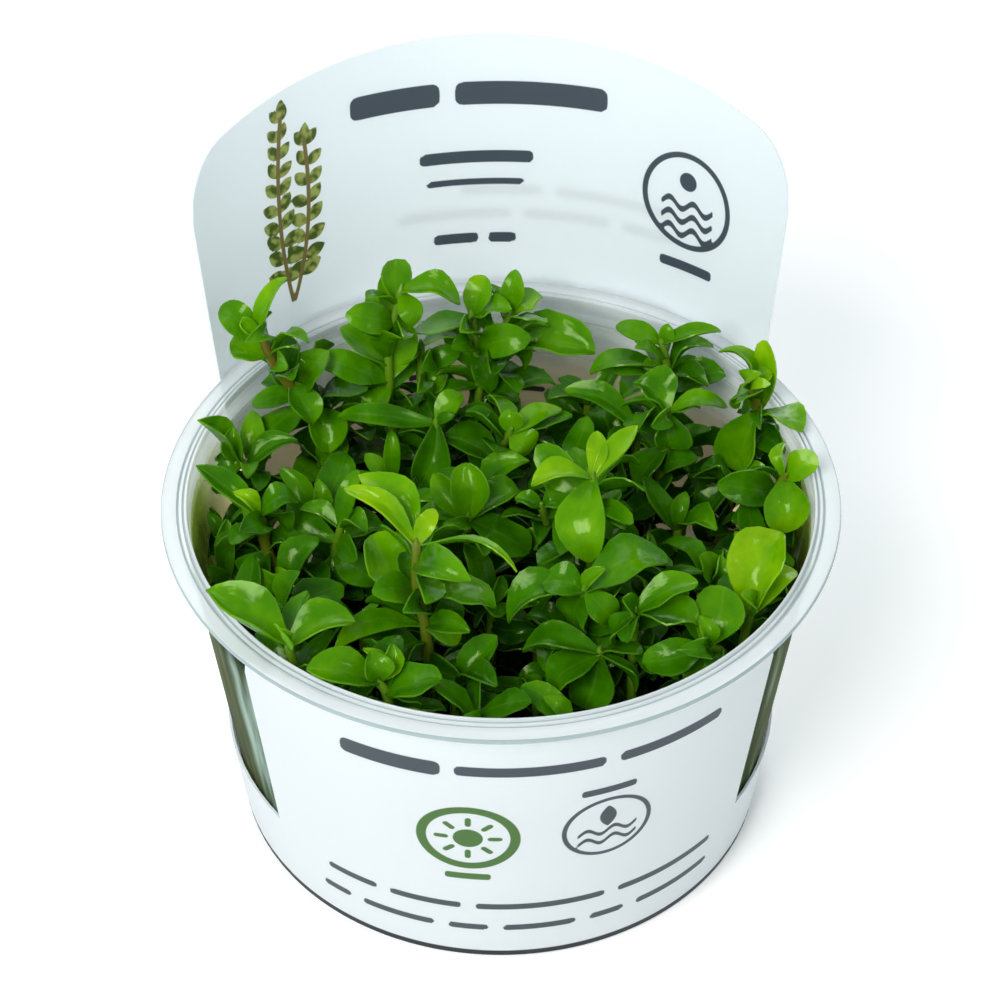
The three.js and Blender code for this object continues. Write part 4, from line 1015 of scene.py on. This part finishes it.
# First the leaves that the solids have, on every shoot. The narrower ones are made fuller, as they
# are seen turned away, and the wide ones turn less. Each leaf has its own seed, so that a change
# to one leaves the rest alone. A shoot's reach is its solid's box and a little more.
WIDE_LEAF = 5
REACH_BELOW = (2, 2, 1)
REACH_ABOVE = (2, 2, 0.4)
shoots = []
placed = []
ALL_SHOOTS = SHOOTS + [(foot, [tip], []) for foot, tip in LOW_SHOOTS]
for number, (foot, joints, leaf_rows) in enumerate(ALL_SHOOTS):
    points = points_of(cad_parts[f"shoot_{number + 1:02d}"]) / MM
    joints = [np.array(joint, float) for joint in joints]
    foot = np.array([*foot, STEM_FOOT])
    lower = foot + LOWER_JOINT * (joints[-1] - foot)
    plan = []  # joint, tip, width, arch, roll, youth
    for index, (joint, x, y, z, width, arch, *roll) in enumerate(leaf_rows):
        dice.seed(100 * number + index)
        # A lower tip makes a darker leaf, partly for age and partly as painted shade.
        youth = LOW_YOUTH + (z - YOUTH_SHADE_HEIGHT) * YOUTH_AND_SHADE_RISE + YOUNG_SHOOTS.get(number + 1, 0)
        youth += dice.uniform(-0.07, 0.07)
        most = 14 if width > WIDE_LEAF else 30
        width *= 1.3 if width < 3.5 else 1.15 if width < 7 else 1.0
        turned = (0.6 * roll[0] if roll else 0) + dice.uniform(-most, most)
        plan.append((joints[joint], np.array([x, y, z], float), width, arch, turned, youth))
    turn = GROWTH_TURN * number
    # The pair at the lower joint is darker than one at a tip, partly as painted shade.
    pairs = [(lower, turn + 90, 9, 0.2, 0.25)]  # joint, direction, length, rise, youth
    if not leaf_rows:
        pairs.append((joints[0], turn, 8, 0.7, 0.42))
    for joint, direction, length, rise, youth in pairs:
        for side in (0, 180):
            tip, scale = found_tip(points, joint, direction + side, length, rise)
            if tip is not None:
                plan.append((joint, tip, 4.6 * scale, 0.6, 0, youth + dice.uniform(-0.06, 0.1)))
    for owner, base, tip, width in COVER_LEAVES:
        if owner == number + 1:
            plan.append((np.array(base, float), np.array(tip, float), width, 0.8, 0, 0.5))
    leaves = []
    kind = "large" if leaf_rows else "small"
    for index, (joint, tip, width, arch, roll, youth) in enumerate(plan):
        dice.seed(100 * number + index + 50)
        point = POINTED_LEAF if (number + 1, index) in POINTED else 0.0
        spots = bend_leaf(kind, joint, tip, width, arch, roll, 22 if width > WIDE_LEAF else 38, point)
        leaves.append((kind, spots, youth))
        placed.append(leaf_tree(kind, spots))
    shoots.append({"route": [foot, lower, *joints[::-1]], "leaves": leaves,
                   "low": points.min(axis=0) - REACH_BELOW, "high": points.max(axis=0) + REACH_ABOVE})

# Then leaves too small for the solids, which fill the carpet: each grows from a joint or part way
# up a stem, turns until it is clear of the others, and stays within its shoot's reach. One that
# meets the cup's wall lies pressed along it. Sizes in mm.
FILL_STEP = 3.6
TALL_STEP = 2.6
TALL_FROM = 46.0
FILL_FLOOR = 15.0
TRIES = 18
TOUCHES = 3
PRESSED = 6.0
INSIDE_FOOT_RADIUS = 39.2


def wall_inside(z):
    """Inner radius of the cup's wall in mm at a height, less a small gap."""
    return INSIDE_FOOT_RADIUS + WALL_RISE * (np.minimum(z, WALL_TOP) - WALL_FOOT)


def sprout(shoot, spot, turn, young=False):
    """Tries to add one leaf at a place on the stem, in about a direction."""
    high_up = np.clip((spot[2] - 35) / 30, 0, 1)
    for attempt in range(TRIES):
        length = dice.uniform(4.5, 7) if young else dice.uniform(7.5, 11.8) * (1 - 0.03 * attempt)
        angle = math.radians(turn + dice.uniform(-20, 20) + 12 * attempt * (-1) ** attempt)
        climb = math.radians(dice.uniform(35, 70) if young else dice.uniform(-8, 30) + 25 * high_up)
        level = math.cos(climb)
        away = np.array([math.cos(angle) * level, math.sin(angle) * level, math.sin(climb)])
        width = length * dice.uniform(0.42, 0.6)
        arch, roll = dice.uniform(0.3, 1.6), dice.uniform(-60, 60)
        spots = bend_leaf("small", spot, spot + length * away, width, arch, roll)
        radius = np.hypot(spots[:, 0], spots[:, 1])
        limit = wall_inside(spots[:, 2]) - dice.uniform(0, 1.6)
        if (radius - limit).max() > PRESSED:
            continue
        spots[:, :2] *= np.minimum(1, limit / radius)[:, None]
        if (spots < shoot["low"]).any() or (spots > shoot["high"]).any():
            continue
        surface, middle, reach = leaf_tree("small", spots)
        near = [other for other, there, far in placed if np.linalg.norm(there - middle) < far + reach]
        if sum(len(surface.overlap(other)) for other in near) > TOUCHES:
            continue
        placed.append((surface, middle, reach))
        # Low fill leaves are darker, partly for age and partly as painted shade of the carpet's depth.
        youth = 0.17 + 0.4 * high_up + dice.uniform(-0.08, 0.08) + 0.25 * young
        shoot["leaves"].append(("small", spots, youth))
        return


for number, shoot in enumerate(shoots):
    dice.seed(7000 + number)
    turn = GROWTH_TURN * number + 45
    for side in (0, 120, 240):
        sprout(shoot, shoot["route"][-1], turn + side, young=True)
    for start, end in zip(shoot["route"][:0:-1], shoot["route"][-2::-1]):
        apart = TALL_STEP if end[2] > TALL_FROM else FILL_STEP
        steps = max(1, round(np.linalg.norm(end - start) / apart))
        for step in range(steps):
            spot = start + (end - start) * step / steps
            if spot[2] < FILL_FLOOR:
                continue
            turn += 90
            for side in (0, 180):
                sprout(shoot, spot, turn + side)

# Last, each plantlet becomes one piece: its leaves get their thickness and join the stem.
for number, shoot in enumerate(shoots):
    flush = FLUSHED_STEMS.get(number + 1)
    stem = grow_stem(shoot["route"], 1.0 if flush else THIN_STEM, flush or GREEN_STEM)
    blades = join([leaf_object(*leaf) for leaf in shoot["leaves"]])
    bpy.ops.object.mode_set(mode="EDIT")
    bpy.ops.mesh.select_all(action="SELECT")
    bpy.ops.mesh.remove_doubles(threshold=0.01 * MM)
    bpy.ops.object.mode_set(mode="OBJECT")
    flesh = blades.modifiers.new("leaf_thickness", "SOLIDIFY")
    flesh.thickness = LEAF_THICKNESS * MM
    flesh.offset = 0
    bpy.ops.object.modifier_apply(modifier="leaf_thickness")
    piece = join([blades, stem])
    bpy.ops.object.shade_smooth_by_angle(angle=math.radians(60))
    piece.name = f"bacopa_{number + 1:02d}"
    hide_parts(f"shoot_{number + 1:02d}")
    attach(piece, "root")
for blank, *_ in BLANKS.values():
    bpy.data.objects.remove(blank)
